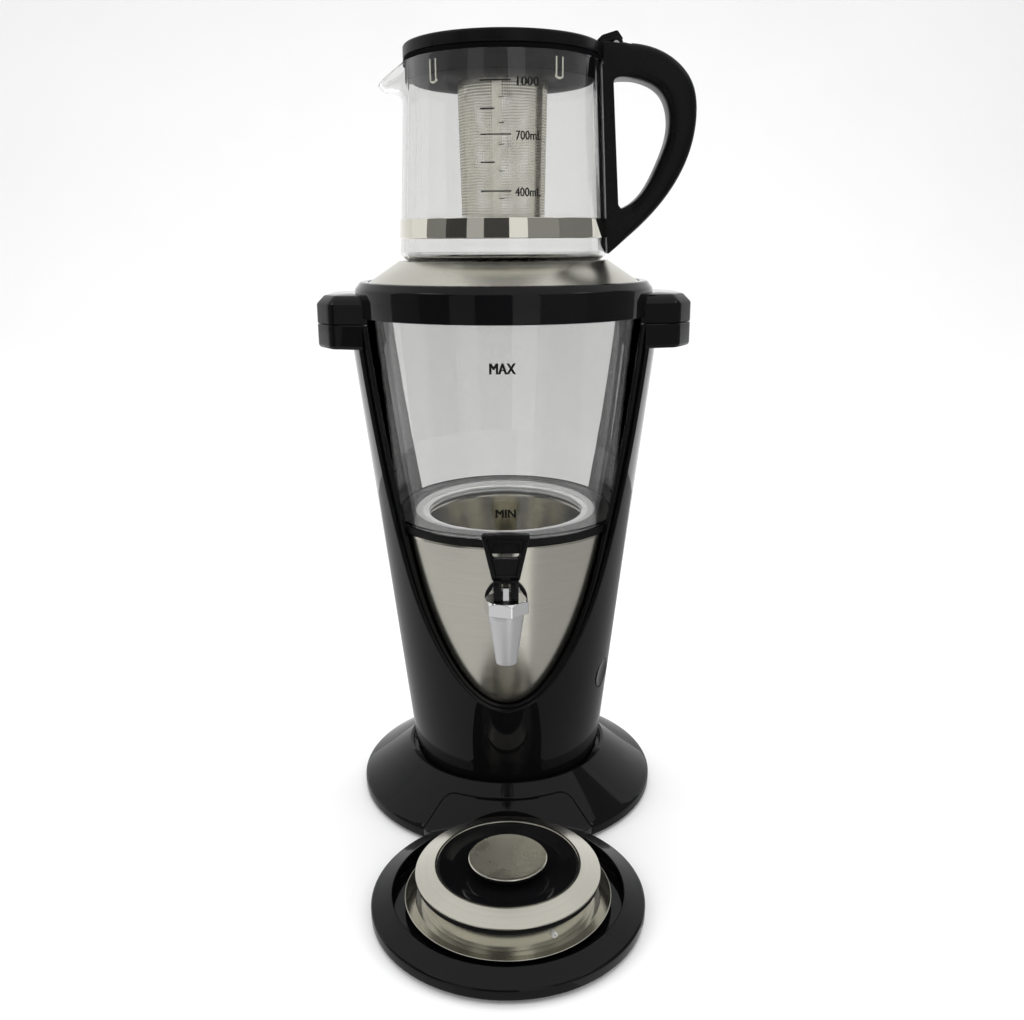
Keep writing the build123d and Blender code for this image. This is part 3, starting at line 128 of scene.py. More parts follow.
class RingSizes(bpy.types.PropertyGroup):
    radius: length("Radius", "Outer radius of the top ring", high("top_ring")[1])
    bottom: length("Bottom", "Lower edge of the top ring", 0.3204)
    top: length("Top", "Upper edge of the top ring", high("top_ring")[2])
    stand_foot: length("Cone foot", "Radius of the steel cone's lower edge", high("pot_stand")[0])
    stand_foot_height: length("Cone foot height", "Height of the steel cone's lower edge", 0.3392)
    stand_top: length("Cone top", "Radius of the steel cone's flat top", 0.0642)
    stand_height: length("Stand height", "Height at which the teapot stands", high("pot_stand")[2])
    mouth: length("Mouth", "Radius of the tank's filling neck", 0.0495)
    neck: length("Neck", "Depth of the filling neck", 0.015)
    sheet: length("Sheet", "Thickness of the pressed steel", 0.001)


class TankSizes(bpy.types.PropertyGroup):
    bottom: length("Bottom", "Underside of the glass", low("glass_tank")[2])
    top: length("Top", "Upper edge of the glass", high("glass_tank")[2])
    bottom_radius: length("Bottom radius", "Radius of the glass at the bottom", 0.074)
    top_radius: length("Top radius", "Radius of the glass at the top", 0.0873)
    wall: length("Wall", "Thickness of the glass", 0.003)
    hole: length("Hole", "Radius of the hole over the steel bowl", 0.0555)
    gasket: length("Gasket", "Height of the gasket under the glass", 0.004)
    shell_inset: length("Shell inset", "How far the steel shell lies inside the tower's face", 0.0076)
    shell_bottom: length("Shell bottom", "Lower edge of the steel shell", low("steel_shell")[2])
    bowl_mouth: length("Bowl mouth", "Radius of the steel bowl's mouth", 0.051)
    bowl_floor: length("Bowl floor", "Radius of the steel bowl's floor", 0.047)
    bowl_floor_height: length("Bowl floor height", "Height of the steel bowl's floor", 0.088)


class TapSizes(bpy.types.PropertyGroup):
    y: length("Axis", "Y of the tap's upright axis", -0.096)
    shank_height: length("Shank height", "Height of the shank through the wall", 0.156)
    shank_radius: length("Shank radius", "Radius of the shank", 0.0075)
    nozzle_bottom: length("Nozzle bottom", "Height of the nozzle's tip", low("tap_body")[2])
    nozzle_tip: length("Nozzle tip", "Radius of the nozzle's tip", 0.0061)
    nozzle_top: length("Nozzle top", "Radius of the nozzle's upper end", 0.0103)
    bore: length("Bore", "Radius of the nozzle's bore", 0.0044)
    bonnet_bottom: length("Bonnet bottom", "Underside of the bonnet's hexagon", 0.158)
    bonnet_height: length("Bonnet height", "Height of the bonnet's hexagon", 0.008)
    bonnet_flats: length("Across flats", "Width of the hexagon across its flats", 0.0233)
    paddle_bottom: length("Paddle bottom", "Lower edge of the lever's paddle", 0.177)
    paddle_top: length("Paddle top", "Upper edge of the lever's paddle", high("tap_lever")[2])
    paddle_thickness: length("Paddle thickness", "Thickness of the paddle", 0.006)
    slot_height: length("Slot height", "Middle of the paddle's slot above its lower edge", 0.0177)


class TraySizes(bpy.types.PropertyGroup):
    y: length("Centre", "Y of the drip tray's centre", (low("drip_dish")[1] + high("drip_dish")[1]) / 2)
    radius: length("Radius", "Radius of the drip tray", high("tray_base")[0])
    edge_top: length("Edge top", "Height of the tray's outer edge", 0.008)
    well: length("Well", "Radius of the tray's well", 0.065)
    well_edge: length("Well edge", "Height of the well's edge", 0.013)
    floor: length("Floor", "Height of the well's floor", 0.005)
    gap: length("Gap", "Gap between the tongue and the foot", 0.0004)
    tongue_back: length("Tongue back", "Radius of the tongue's back edge about the tower's axis", 0.0762)
    dish: length("Dish radius", "Radius of the loose dish", high("drip_dish")[0])
    dish_rim: length("Dish rim", "Height of the dish's rim", high("drip_dish")[2])
    dish_floor: length("Dish floor", "Height of the dish's floor", 0.008)


class TankLidSizes(bpy.types.PropertyGroup):
    rim: length("Rim", "Outer radius of the steel rim", high("tank_lid_rim")[0])
    rim_height: length("Rim height", "Height of the rim's outer edge", 0.0242)
    inner: length("Inner radius", "Radius of the recess in the rim", 0.0402)
    inner_height: length("Inner height", "Height of the rim's inner edge", 0.0282)
    skirt: length("Skirt", "Radius of the skirt", 0.0487)
    skirt_top: length("Skirt top", "Upper edge of the skirt", 0.020)
    knob: length("Knob", "Radius of the knob's steel cap", high("tank_lid_knob_cap")[0])
    knob_top: length("Knob top", "Height of the knob's cap", high("tank_lid_knob_cap")[2])


class TeapotSizes(bpy.types.PropertyGroup):
    base_radius: length("Base radius", "Radius of the glass at its foot", 0.0633)
    taper: number("Taper", "Loss of radius for each metre of height", 0.0466)
    rim: length("Rim", "Height of the glass's rim", high("teapot_glass")[2])
    wall: length("Wall", "Thickness of the glass", 0.0025)
    band_bottom: length("Band bottom", "Lower edge of the steel band", low("teapot_band")[2])
    band_top: length("Band top", "Upper edge of the steel band", high("teapot_band")[2])
    band_wall: length("Band wall", "Thickness of the steel band", 0.0009)
    spout_reach: length("Spout reach", "How far the spout's tip stands out from the axis", 0.0752)
    spout_tip: length("Spout tip", "Height of the spout's tip", 0.4553)
    spout_root: length("Spout root", "Height where the spout leaves the wall", 0.443)
    holder: length("Collar", "Radius of the collar that hangs in the mouth", 0.0547)
    holder_floor: length("Collar floor", "Underside of the collar", low("filter_holder")[2])
    lid: length("Lid", "Radius of the lid", 0.0584)
    lid_bottom: length("Lid bottom", "Height of the lid's lower edge", 0.4675)
    lid_top: length("Lid top", "Height of the lid's upper face", 0.4733)
    hinge_x: length("Hinge", "X of the lid's hinge pin", 0.066)
    hinge_height: length("Hinge height", "Height of the lid's hinge pin", 0.4743)
    handle_half: length("Handle half width", "Half of the handle's width", high("teapot_handle")[1])


class FilterSizes(bpy.types.PropertyGroup):
    top: length("Top radius", "Radius of the basket's mouth", 0.0268)
    bottom: length("Bottom radius", "Radius of the basket's bottom", 0.0252)
    floor: length("Floor", "Height of the basket's floor", low("filter_basket")[2])
    rim: length("Rim", "Height of the basket's rim", high("filter_basket")[2])
    sheet: length("Sheet", "Thickness of the perforated sheet", 0.0004)
    rows: IntProperty(name="Rows", description="Rows of holes up the basket", default=47, min=4)
    columns: IntProperty(name="Columns", description="Holes round the basket", default=126, min=8)


class FinishColours(bpy.types.PropertyGroup):
    gloss_black: colour("Gloss black", "Moulded gloss plastic", (0.004, 0.004, 0.0045))
    satin_black: colour("Satin black", "Handle and lid", (0.005, 0.005, 0.0055))
    steel: colour("Steel", "Brushed and polished steel", (0.60, 0.585, 0.515))
    chrome: colour("Chrome", "Plated tap", (0.82, 0.82, 0.83))
    glass: colour("Glass", "Clear glass", (0.84, 0.84, 0.835))
    rubber: colour("Rubber", "Dark gaskets and pads", (0.005, 0.005, 0.005))
    silicone: colour("Silicone", "Pale seals", (0.8, 0.8, 0.79))
    print: colour("Print", "Level marks on the glass", (0.004, 0.004, 0.004))
    off_white: colour("Off white", "Plastic of the switches", (0.72, 0.71, 0.68))
    lacquer: colour("Lacquer", "Circuit board", (0.03, 0.16, 0.07))
    aluminium: colour("Aluminium", "Cast heater", (0.62, 0.62, 0.63))
    brass: colour("Brass", "Turned brass", (0.72, 0.53, 0.26))
    zinc: colour("Zinc", "Plated screws", (0.56, 0.56, 0.58))
    paper: colour("Paper", "Floor and wall of the studio", (0.90, 0.90, 0.90))


class StudioSettings(bpy.types.PropertyGroup):
    distance: length("Camera distance", "Distance of the camera in front of the tower's axis", 0.6352)
    height: length("Camera height", "Height of the camera", 0.3651)
    focal: number("Lens", "Focal length in millimetres on a 36 mm wide sensor", 34.96)


class TeaMakerSettings(bpy.types.PropertyGroup):
    foot: PointerProperty(type=FootSizes)
    tower: PointerProperty(type=TowerSizes)
    ear: PointerProperty(type=EarSizes)
    ring: PointerProperty(type=RingSizes)
    tank: PointerProperty(type=TankSizes)
    tap: PointerProperty(type=TapSizes)
    tray: PointerProperty(type=TraySizes)
    tank_lid: PointerProperty(type=TankLidSizes)
    teapot: PointerProperty(type=TeapotSizes)
    filter: PointerProperty(type=FilterSizes)
    colours: PointerProperty(type=FinishColours)
    studio: PointerProperty(type=StudioSettings)


# ---- surfaces ---------------------------------------------------------------
def grid_quads(rows, columns, closed_rows=False, closed_columns=False):
    """Corner numbers of the faces of a grid of points, as a (rows, columns, 4) array."""
    i = np.arange(rows if closed_rows else rows - 1)[:, None]
    j = np.arange(columns if closed_columns else columns - 1)[None, :]
    i_next, j_next = (i + 1) % rows, (j + 1) % columns
    corners = [i * columns + j, i * columns + j_next, i_next * columns + j_next, i_next * columns + j]
    return np.stack(np.broadcast_arrays(*corners), -1)


def outward(points, quads):
    """The shape with its faces turned outwards: the sum of the faces' signed volumes is made positive."""
    points = np.reshape(points, (-1, 3))
    quads = np.reshape(quads, (-1, 4))
    corner = (points - points.mean(0))[quads]
    halves = np.cross(corner[:, 1], corner[:, 2]) + np.cross(corner[:, 2], corner[:, 3])
    return (points, quads) if (corner[:, 0] * halves).sum() > 0 else (points, quads[:, ::-1])


def closed(loops):
    """A ring-like shape of closed loops, each joined to the next and the last one to the first."""
    return outward(loops, grid_quads(*loops.shape[:2], True, True))


def joined(*shapes):
    """Several shapes as one list of points and faces."""
    starts = np.cumsum([0] + [len(points) for points, _ in shapes])
    points = np.concatenate([points for points, _ in shapes])
    return points, np.concatenate([quads + start for (_, quads), start in zip(shapes, starts)])


def rounded(outline, radii=0.0, steps=5, inset=0.0):
    """A closed outline with each corner replaced by an arc.

    The arc starts radius / tan(half the corner's angle) back along each side. Its centre is on the
    bisector, and its points are the two end spokes blended by sines. inset first moves every side inwards.
    """
    corner = np.asarray(outline, float)
    area = (corner[:, 0] * np.roll(corner[:, 1], -1) - np.roll(corner[:, 0], -1) * corner[:, 1]).sum()
    to_last, to_next = np.roll(corner, 1, 0) - corner, np.roll(corner, -1, 0) - corner
    to_last /= np.linalg.norm(to_last, axis=1)[:, None]
    to_next /= np.linalg.norm(to_next, axis=1)[:, None]
    half = np.arccos(np.clip((to_last * to_next).sum(1), -1, 0.999)) / 2
    bisector = to_last + to_next
    size = np.linalg.norm(bisector, axis=1)[:, None]
    normal = np.stack([-to_next[:, 1], to_next[:, 0]], 1) * np.sign(area)
    bisector = np.where(size > 1e-6, bisector / np.maximum(size, 1e-6), normal)
    convex = np.sign((bisector * normal).sum(1))
    corner = corner + bisector * (convex * inset / np.sin(half))[:, None]
    radius = np.maximum(np.broadcast_to(radii, len(corner)) - convex * inset, 0)
    radius = np.where(np.broadcast_to(radii, len(corner)) > 0, np.maximum(radius, 1e-5), 0)
    back = (radius / np.tan(half))[:, None]
    centre = corner + bisector * (radius / np.sin(half))[:, None]
    spoke_a, spoke_b = corner + to_last * back - centre, corner + to_next * back - centre
    turn = np.maximum(np.pi - 2 * half, 1e-4)[:, None]
    u = np.linspace(0, 1, steps + 1)[None, :]
    share_a, share_b = np.sin(turn * (1 - u)) / np.sin(turn), np.sin(turn * u) / np.sin(turn)
    arcs = centre[:, None] + spoke_a[:, None] * share_a[..., None] + spoke_b[:, None] * share_b[..., None]
    points = arcs.reshape(-1, 2)
    single = np.repeat(np.broadcast_to(radii, len(corner)) <= 0, steps + 1)
    first = np.tile(np.arange(steps + 1) == 0, len(corner))
    return points[~single | first]


def smooth_path(points, start, end, count):
    """Cubic curve through the points, with given directions at its ends.

    The parameter is the chord length. The second derivatives solve the usual equations of a clamped
    spline, and each point is the straight blend of its neighbours plus their cubic bend.
    """
    p = np.asarray(points, float)
    step = np.diff(p, axis=0)
    h = np.linalg.norm(step, axis=1)
    t = np.concatenate([[0], np.cumsum(h)])
    n = len(p)
    inner = np.arange(1, n - 1)
    slope = step / h[:, None]
    system, target = np.zeros((n, n)), np.zeros_like(p)
    system[0, :2], system[-1, -2:] = (h[0] / 3, h[0] / 6), (h[-1] / 6, h[-1] / 3)
    target[0] = slope[0] - np.array(start) / np.linalg.norm(start)
    target[-1] = np.array(end) / np.linalg.norm(end) - slope[-1]
    system[inner, inner - 1], system[inner, inner + 1] = h[:-1] / 6, h[1:] / 6
    system[inner, inner] = (h[:-1] + h[1:]) / 3
    target[inner] = slope[1:] - slope[:-1]
    bend = np.linalg.solve(system, target)
    u = np.linspace(0, t[-1], count)
    k = np.clip(np.searchsorted(t, u, side="right") - 1, 0, n - 2)
    a, b = ((t[k + 1] - u) / h[k])[:, None], ((u - t[k]) / h[k])[:, None]
    return a * p[k] + b * p[k + 1] + ((a**3 - a) * bend[k] + (b**3 - b) * bend[k + 1]) * h[k, None] ** 2 / 6


def tube(loops, keep=None):
    """Closed loops carried along a path, with both ends closed by strips between opposite points."""
    rows, n = loops.shape[:2]
    sides = grid_quads(rows, n, closed_columns=True)
    sides = sides.reshape(-1, 4) if keep is None else sides[keep]
    i = np.arange((n - 1) // 2)
    cap = np.stack([i, i + 1, n - 2 - i, n - 1 - i], 1)
    return outward(loops, np.concatenate([sides, cap[:, ::-1], cap + (rows - 1) * n]))


def turned(outline, x=0.0, y=0.0, steps=144, span=None):
    """A closed (radius, height) outline carried round an upright axis at (x, y).

    Each point is (x + r cos a, y + r sin a, z). With a span it runs only between two angles.
    """
    r, z = np.asarray(outline, float).T
    angle = np.linspace(0, 2 * np.pi, steps, endpoint=False) if span is None else np.linspace(*span, steps)
    a = angle[:, None]
    loops = np.stack([x + r * np.cos(a), y + r * np.sin(a), z + 0 * a], -1)
    if span is not None:
        return tube(loops)
    return closed(loops)


def lathe(corners, y=0.0, steps=192, arc=5):
    """A turned body of (radius, height, rounding) corners; a corner without a rounding stays sharp."""
    full = np.array([(*corner, 0.0)[:3] for corner in corners])
    return turned(rounded(full[:, :2], full[:, 2], arc), y=y, steps=steps)


def aimed(shape, origin, axis, side=(0, 0, 1)):
    """A shape made about local Z, moved to an origin with its Z along an axis and its X near side."""
    points, quads = shape
    w = np.array(axis, float) / np.linalg.norm(axis)
    u = np.array(side, float) - w * np.dot(side, w)
    u /= np.linalg.norm(u)
    return np.array(origin) + points @ np.stack([u, np.cross(w, u), w]), quads


def rod(radius, start, end, edge=0.0003, steps=48):
    """A round bar with softened ends between two points."""
    start, end = np.array(start, float), np.array(end, float)
    axis = end - start
    span = np.linalg.norm(axis)
    outline = rounded([(0, 0), (radius, 0), (radius, span), (0, span)], [0, edge, edge, 0], 3)
    side = (0, 0, 1) if abs(axis[2]) < 0.9 * span else (1, 0, 0)
    return aimed(turned(outline, steps=steps), start, axis, side)


def prism(outline, radii, levels, steps=6):
    """A convex (x, y) outline stacked through (height, inset) levels, closed to its middle at both ends."""
    loops = [rounded(outline, radii, steps, inset) for _, inset in levels]
    rows = [np.column_stack([loop, np.full(len(loop), z)]) for loop, (z, _) in zip(loops, levels)]
    ends = [np.tile(row.mean(0), (len(row), 1)) for row in (rows[0], rows[-1])]
    loops = np.stack([ends[0], *rows, ends[1]])
    return outward(loops, grid_quads(len(loops), loops.shape[1], closed_columns=True))


def edge_levels(bottom, top, edge, steps=4):
    """(height, inset) levels of an upright wall whose two edges are rounded by quarter circles."""
    q = np.linspace(0, np.pi / 2, steps + 1)
    rise, inset = edge * (1 - np.cos(q)), edge * (1 - np.sin(q))
    return [*zip(bottom + rise, inset), *zip(top - rise[::-1], inset[::-1])]


def plate_with_hole(outer, inner, half, edge):
    """A flat plate in the XZ plane between two matched outlines, with rounded edges.

    At each pair of outline points a rounded rectangle stands between them, half the thickness to
    each side of the middle plane, so the loops join into a ring. The edge may change along the outline.
    """
    across = outer - inner
    away = (across / np.linalg.norm(across, axis=1)[:, None])[:, None]
    q = np.linspace(0, np.pi / 2, 6)
    edge = np.broadcast_to(edge, (len(outer), 1))
    run, rise = edge * (1 - np.cos(q)), half - edge * (1 - np.sin(q))
    run, y = np.concatenate([run[:, ::-1], run], 1), np.concatenate([rise[:, ::-1], -rise], 1)
    far, near = outer[:, None] - away * run[..., None], inner[:, None] + away * run[..., None]
    flat, depth = np.concatenate([far, near[:, ::-1]], 1), np.concatenate([y, y[:, ::-1]], 1)
    loops = np.stack([flat[..., 0], depth, flat[..., 1]], -1)
    return closed(loops)


def resampled(path, count):
    """An open or closed path with its points spaced evenly along its length."""
    path = np.asarray(path, float)
    along = np.concatenate([[0], np.cumsum(np.linalg.norm(np.diff(path, axis=0), axis=1))])
    u = np.linspace(0, along[-1], count)
    return np.column_stack([np.interp(u, along, column) for column in path.T])


def make_mesh(name, points, quads, sharp=32.0):
    """A mesh of the points and faces: near points are merged, collapsed faces dropped, creases kept sharp."""
    _, first, number = np.unique(np.round(points, 7), axis=0, return_index=True, return_inverse=True)
    faces = number.reshape(-1)[quads]
    same = faces == np.roll(faces, -1, axis=1)
    folded = (faces[:, 0] == faces[:, 2]) | (faces[:, 1] == faces[:, 3])
    four = faces[(same.sum(1) == 0) & ~folded]
    three = same.sum(1) == 1
    three = faces[three][~same[three]].reshape(-1, 3)
    mesh = bpy.data.meshes.new(name)
    mesh.from_pydata(np.asarray(points)[first].tolist(), [], four.tolist() + three.tolist())
    mesh.shade_smooth()
    mesh.set_sharp_from_angle(angle=np.radians(sharp))
    return mesh


def linked(name, data):
    """A new object that holds the data, in the scene."""
    thing = bpy.data.objects.new(name, data)
    bpy.context.scene.collection.objects.link(thing)
    return thing


def evaluated(thing):
    """A mesh of an object as its modifiers or its text leave it."""
    return bpy.data.meshes.new_from_object(thing.evaluated_get(bpy.context.evaluated_depsgraph_get()))


def add_piece(name, shape, body, material, replaces=(), sharp=32.0):
    """A named piece that moves with a body, hides the solids whose place it takes and wears a material."""
    mesh = make_mesh(name, *shape, sharp=sharp)
    piece = linked(name, mesh)
    mesh.materials.append(material)
    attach(piece, body)
    if replaces:
        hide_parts(*replaces)
    return piece


def carve(piece, *shapes, sharp=32.0):
    """Cuts closed shapes out of a piece at once, so that its mesh holds the result."""
    for shape in shapes:
        mesh = make_mesh("cutter", *shape)
        cutter = linked("cutter", mesh)
        cut = piece.modifiers.new("cut", "BOOLEAN")
        cut.object, cut.operation, cut.solver = cutter, "DIFFERENCE", "EXACT"
        result = evaluated(piece)
        piece.modifiers.clear()
        piece.data = result
        bpy.data.objects.remove(cutter)
        bpy.data.meshes.remove(mesh)
    piece.data.shade_smooth()
    piece.data.set_sharp_from_angle(angle=np.radians(sharp))


# ---- finishes ---------------------------------------------------------------
class Finish:
    """A node material under construction: a principled shader fed by patterns on object coordinates."""

    def __init__(self, name, colour, roughness, metal=0.0, centre=(0.0, 0.0, 0.0)):
        self.material = bpy.data.materials.new(name)
        self.material.use_nodes = True
        self.nodes, self.links = self.material.node_tree.nodes, self.material.node_tree.links
        self.shader = self.nodes["Principled BSDF"]
        self.colour, self.roughness = np.array(colour[:]), roughness
        self.set({"Base Color": (*colour, 1.0), "Roughness": roughness, "Metallic": metal})
        place = self.add("ShaderNodeMapping", Location=[-c for c in centre])
        self.link(self.add("ShaderNodeTexCoord").outputs["Object"], place.inputs["Vector"])
        self.vector = place.outputs["Vector"]

    def add(self, kind, operation=None, **values):
        """A new node with values on its sockets, whose spaces are written as underscores."""
        node = self.nodes.new(kind)
        if operation:
            node.operation = operation
        for key, value in values.items():
            node.inputs[key.replace("_", " ")].default_value = value
        return node

    def link(self, source, target):
        """Joins an output to an input."""
        self.links.new(source, target)

    def set(self, sockets):
        """Sets constant values on the shader's own sockets."""
        for key, value in sockets.items():
            self.shader.inputs[key].default_value = value

    def scaled(self, scale):
        """The present vector times a scale along each axis."""
        node = self.add("ShaderNodeVectorMath", "MULTIPLY")
        node.inputs[1].default_value = scale
        self.link(self.vector, node.inputs[0])
        return node.outputs["Vector"]

    def stretched(self):
        """Later patterns become level lines, drawn out 50 times along X and Y."""
        self.vector = self.scaled((0.02, 0.02, 1.0))

    def ringed(self):
        """Later patterns read (distance from the axis, 0, height), so that they run in rings."""
        split, join = self.add("ShaderNodeSeparateXYZ"), self.add("ShaderNodeCombineXYZ")
        size = self.add("ShaderNodeVectorMath", "LENGTH")
        self.link(self.vector, split.inputs["Vector"])
        self.link(self.scaled((1, 1, 0)), size.inputs[0])
        self.link(size.outputs["Value"], join.inputs["X"])
        self.link(split.outputs["Z"], join.inputs["Z"])
        self.vector = join.outputs["Vector"]

    def noise(self, scale):
        """A noise pattern on the present vector."""
        node = self.add("ShaderNodeTexNoise", Scale=scale, Detail=3.0)
        self.link(self.vector, node.inputs["Vector"])
        return node.outputs["Fac"]

    def rough(self, scale, spread):
        """Roughness that drifts by spread to each side."""
        least, most = max(self.roughness - spread, 0.0), self.roughness + spread
        node = self.add("ShaderNodeMapRange", From_Min=0.3, From_Max=0.7, To_Min=least, To_Max=most)
        self.link(self.noise(scale), node.inputs["Value"])
        self.link(node.outputs["Result"], self.shader.inputs["Roughness"])

    def shaded(self, scale, share):
        """Colour that drifts by a share to each side."""
        ramp = self.add("ShaderNodeValToRGB")
        for end, position, factor in zip(ramp.color_ramp.elements, (0.3, 0.7), (1 - share, 1 + share)):
            end.position, end.color = position, (*np.clip(self.colour * factor, 0, 1), 1)
        self.link(self.noise(scale), ramp.inputs["Fac"])
        self.link(ramp.outputs["Color"], self.shader.inputs["Base Color"])

    def bumped(self, scale, depth):
        """Relief of a depth in metres."""
        node = self.add("ShaderNodeBump", Distance=depth, Strength=1.0)
        self.link(self.noise(scale), node.inputs["Height"])
        self.link(node.outputs["Normal"], self.shader.inputs["Normal"])


class Look(NamedTuple):
    """The values of a finish. A pattern is its scale and its depth: how far it drifts, or metres of relief."""

    colour: str
    roughness: float
    relief: tuple
    drift: tuple = ()
    tint: tuple = ()
    # bright scales the colour; on the bowl's and the knob cap's steel it is painted light, on the tank's glass it is
    # painted shade
    bright: float = 1.0
    metal: float = 0.0
    lines: str = ""
    sockets: dict = {}


def shine(level, **sockets):
    """Sockets of a plastic or rubber that mirrors less than plain plastic does."""
    return {"Specular IOR Level": level, **sockets}


CLEAR = {"Transmission Weight": 1.0, "IOR": 1.48}
LOOKS = {
    # moulded plastics
    "gloss_black": Look("gloss_black", 0.055, (28, 2e-5), (35, 0.02), (20, 0.15), sockets=shine(0.22, IOR=1.46)),
    "lever_black": Look("gloss_black", 0.16, (900, 5e-6), (80, 0.04), (30, 0.15), sockets=shine(0.15)),
    "collar_black": Look("gloss_black", 0.12, (40, 1e-5), (60, 0.03), (25, 0.15), sockets=shine(0.03, IOR=1.05)),
    "satin_black": Look("satin_black", 0.3, (2600, 1e-5), (60, 0.05), (30, 0.2), sockets=shine(0.12, IOR=1.46)),
    "white_plastic": Look("off_white", 0.4, (1500, 1e-5), (90, 0.05), (30, 0.04)),
    "board_green": Look("lacquer", 0.3, (700, 2e-5), (90, 0.06), (200, 0.15)),
    # steel: brushed round a wall, turned, the knob's cap, the jug's mirror band, and thin perforated sheet
    "brushed_wall": Look("steel", 0.22, (1500, 4e-7), (2500, 0.03), (1800, 0.03), metal=1, lines="stretched"),
    "ring_steel": Look("steel", 0.22, (1500, 5e-7), (2200, 0.03), (1500, 0.03), metal=1, lines="ringed"),
    # the bowl's steel is 1.4 times as bright as steel: painted light in place of light that reaches it through the
    # tank's glass
    "bowl_steel": Look("steel", 0.16, (400, 5e-7), (900, 0.03), (600, 0.03), 1.4, 1, "ringed"),
    # the knob cap's steel is 1.55 times as bright as steel: painted light that stands for the bright steel the cap
    # mirrors
    "polished_steel": Look("steel", 0.28, (60, 5e-6), (50, 0.06), (15, 0.04), 1.55, 1),
    "band_steel": Look("steel", 0.03, (25, 1e-5), (40, 0.015), (12, 0.02), 1.3, 1),
    "basket_steel": Look("steel", 0.2, (120, 3e-6), (400, 0.05), (100, 0.04), 1.35, 1),
    # other metals
    "chrome": Look("chrome", 0.05, (90, 4e-6), (60, 0.02), (20, 0.02), metal=1),
    "satin_chrome": Look("chrome", 0.46, (600, 5e-7), (120, 0.04), (30, 0.02), 0.92, 1),
    "cast_aluminium": Look("aluminium", 0.45, (900, 3e-5), (180, 0.08), (60, 0.08), metal=1),
    "plated_brass": Look("brass", 0.22, (1500, 1e-5), (90, 0.05), (40, 0.06), metal=1),
    "screw_steel": Look("zinc", 0.3, (1500, 1e-5), (250, 0.08), (100, 0.08), metal=1),
    # glass with faint waves, seals, print and the studio's paper
    "jug_glass": Look("glass", 0.0, (18, 1e-5), sockets=CLEAR),
    # the tank's glass passes only 0.8 of the glass colour: painted shade that greys the view through the tank
    "clear_glass": Look("glass", 0.0, (18, 1e-5), bright=0.8, sockets=CLEAR),
    "dark_rubber": Look("rubber", 0.55, (1800, 2e-5), (200, 0.08), (60, 0.25), sockets=shine(0.15)),
    "pale_silicone": Look("silicone", 0.45, (1200, 1e-5), (150, 0.05), (40, 0.06)),
    "hole_silicone": Look("silicone", 0.35, (1200, 1e-5), (150, 0.05), (40, 0.06), 0.68),
    "level_print": Look("print", 0.6, (2000, 5e-6), (300, 0.05), (120, 0.2), sockets=shine(0.2)),
    "studio_paper": Look("paper", 0.85, (400, 2e-5), (8, 0.04), (3, 0.01)),
}
# the finish of a solid that is shown as it is, where it isn't called like its slot
SLOT_FINISHES = {
    "brushed_steel": ("brushed_wall",),
    "polished_steel": ("ring_steel", 0, 0),
    "silicone": ("pale_silicone",),
    "black_rubber": ("dark_rubber",),
    "heater_aluminium": ("cast_aluminium",),
    "brass": ("plated_brass",),
}


def finish(kind, *axis):
    """The material of a kind of finish, made when first asked for. Rings may run round an axis at (x, y)."""
    name = "finish_" + kind + "".join(f"_{round(c * 1000)}" for c in axis)
    if name not in bpy.data.materials:
        look, colours = LOOKS[kind], bpy.context.scene.tea_maker.colours
        colour = np.array(getattr(colours, look.colour)[:]) * look.bright
        made = Finish(name, colour, look.roughness, look.metal, (*axis, 0) if axis else (0, 0, 0))
        made.set(look.sockets)
        if look.lines:
            getattr(made, look.lines)()
        if look.drift:
            made.rough(*look.drift)
            made.shaded(*look.tint)
        made.bumped(*look.relief)
    return bpy.data.materials[name]


def card_paper(light):
    """A card that glows an even grey and is seen only in reflections: a painted reflection of a grey band."""
    made = Finish("card_paper", (0, 0, 0), 1.0)
    made.set({"Emission Color": (light, light, light, 1), "Emission Strength": 1.0})
    return made.material


# ---- foot and drip tray plan --------------------------------------------------
# rounding of the foot's and the tray's edge where they meet along the tongue, and of the rest of it
TONGUE_EDGE, RIM_EDGE = 0.0004, 0.0012


def tongue_path(foot, tray, gap):
    """Right half of the line where the tray's tongue meets the foot, from the back's middle to the rim.

    An arc about the tower's axis, a corner arc, then a straight side to the foot's rim. The corner's
    centre lies a corner radius inside the side and that much outside the back arc.
    """
    half_angle, corner_radius, run = np.radians(30), 0.008, np.array([0.014, -0.017])
    back, corner = tray.tongue_back - gap, corner_radius + gap
    start = tray.tongue_back * np.array([np.sin(half_angle), -np.cos(half_angle)])
    run /= np.linalg.norm(run)
    out = np.array([-run[1], run[0]])
    line = start + out * (gap - corner)
    along = -line @ run + np.sqrt((line @ run) ** 2 - line @ line + (back + corner) ** 2)
    centre = line + run * along
    touch_back, touch_side = centre * back / (back + corner), centre + out * corner
    sweep = np.linspace(0, np.arctan2(touch_back[0], -touch_back[1]), 20)
    back_arc = np.column_stack([back * np.sin(sweep), -back * np.cos(sweep)])
    first, last = [np.arctan2(*(p - centre)[::-1]) for p in (touch_back, touch_side)]
    first = first - 2 * np.pi if first > last + np.pi else first + 2 * np.pi * (first < last - np.pi)
    turn = np.linspace(first, last, 10)[1:-1]
    corner_arc = centre + corner * np.column_stack([np.cos(turn), np.sin(turn)])
    rest = -touch_side @ run + np.sqrt((touch_side @ run) ** 2 - touch_side @ touch_side + foot.radius**2)
    side = touch_side + run * np.linspace(0, rest, 12)[:, None]
    return np.concatenate([back_arc, corner_arc, side])


def flare(foot, radius):
    """Height of the foot's sloping top at a distance from the tower's axis."""
    return foot.edge_top + foot.slope * np.clip(foot.radius - radius, 0, foot.radius)


def both_sides(angle, reach):
    """A right half's angles and reaches, with the mirror image added as the left half, as columns."""
    angle = np.concatenate([angle, 2 * np.pi - angle[-2:0:-1]])
    return angle[:, None], np.concatenate([reach, reach[-2:0:-1]])[:, None]


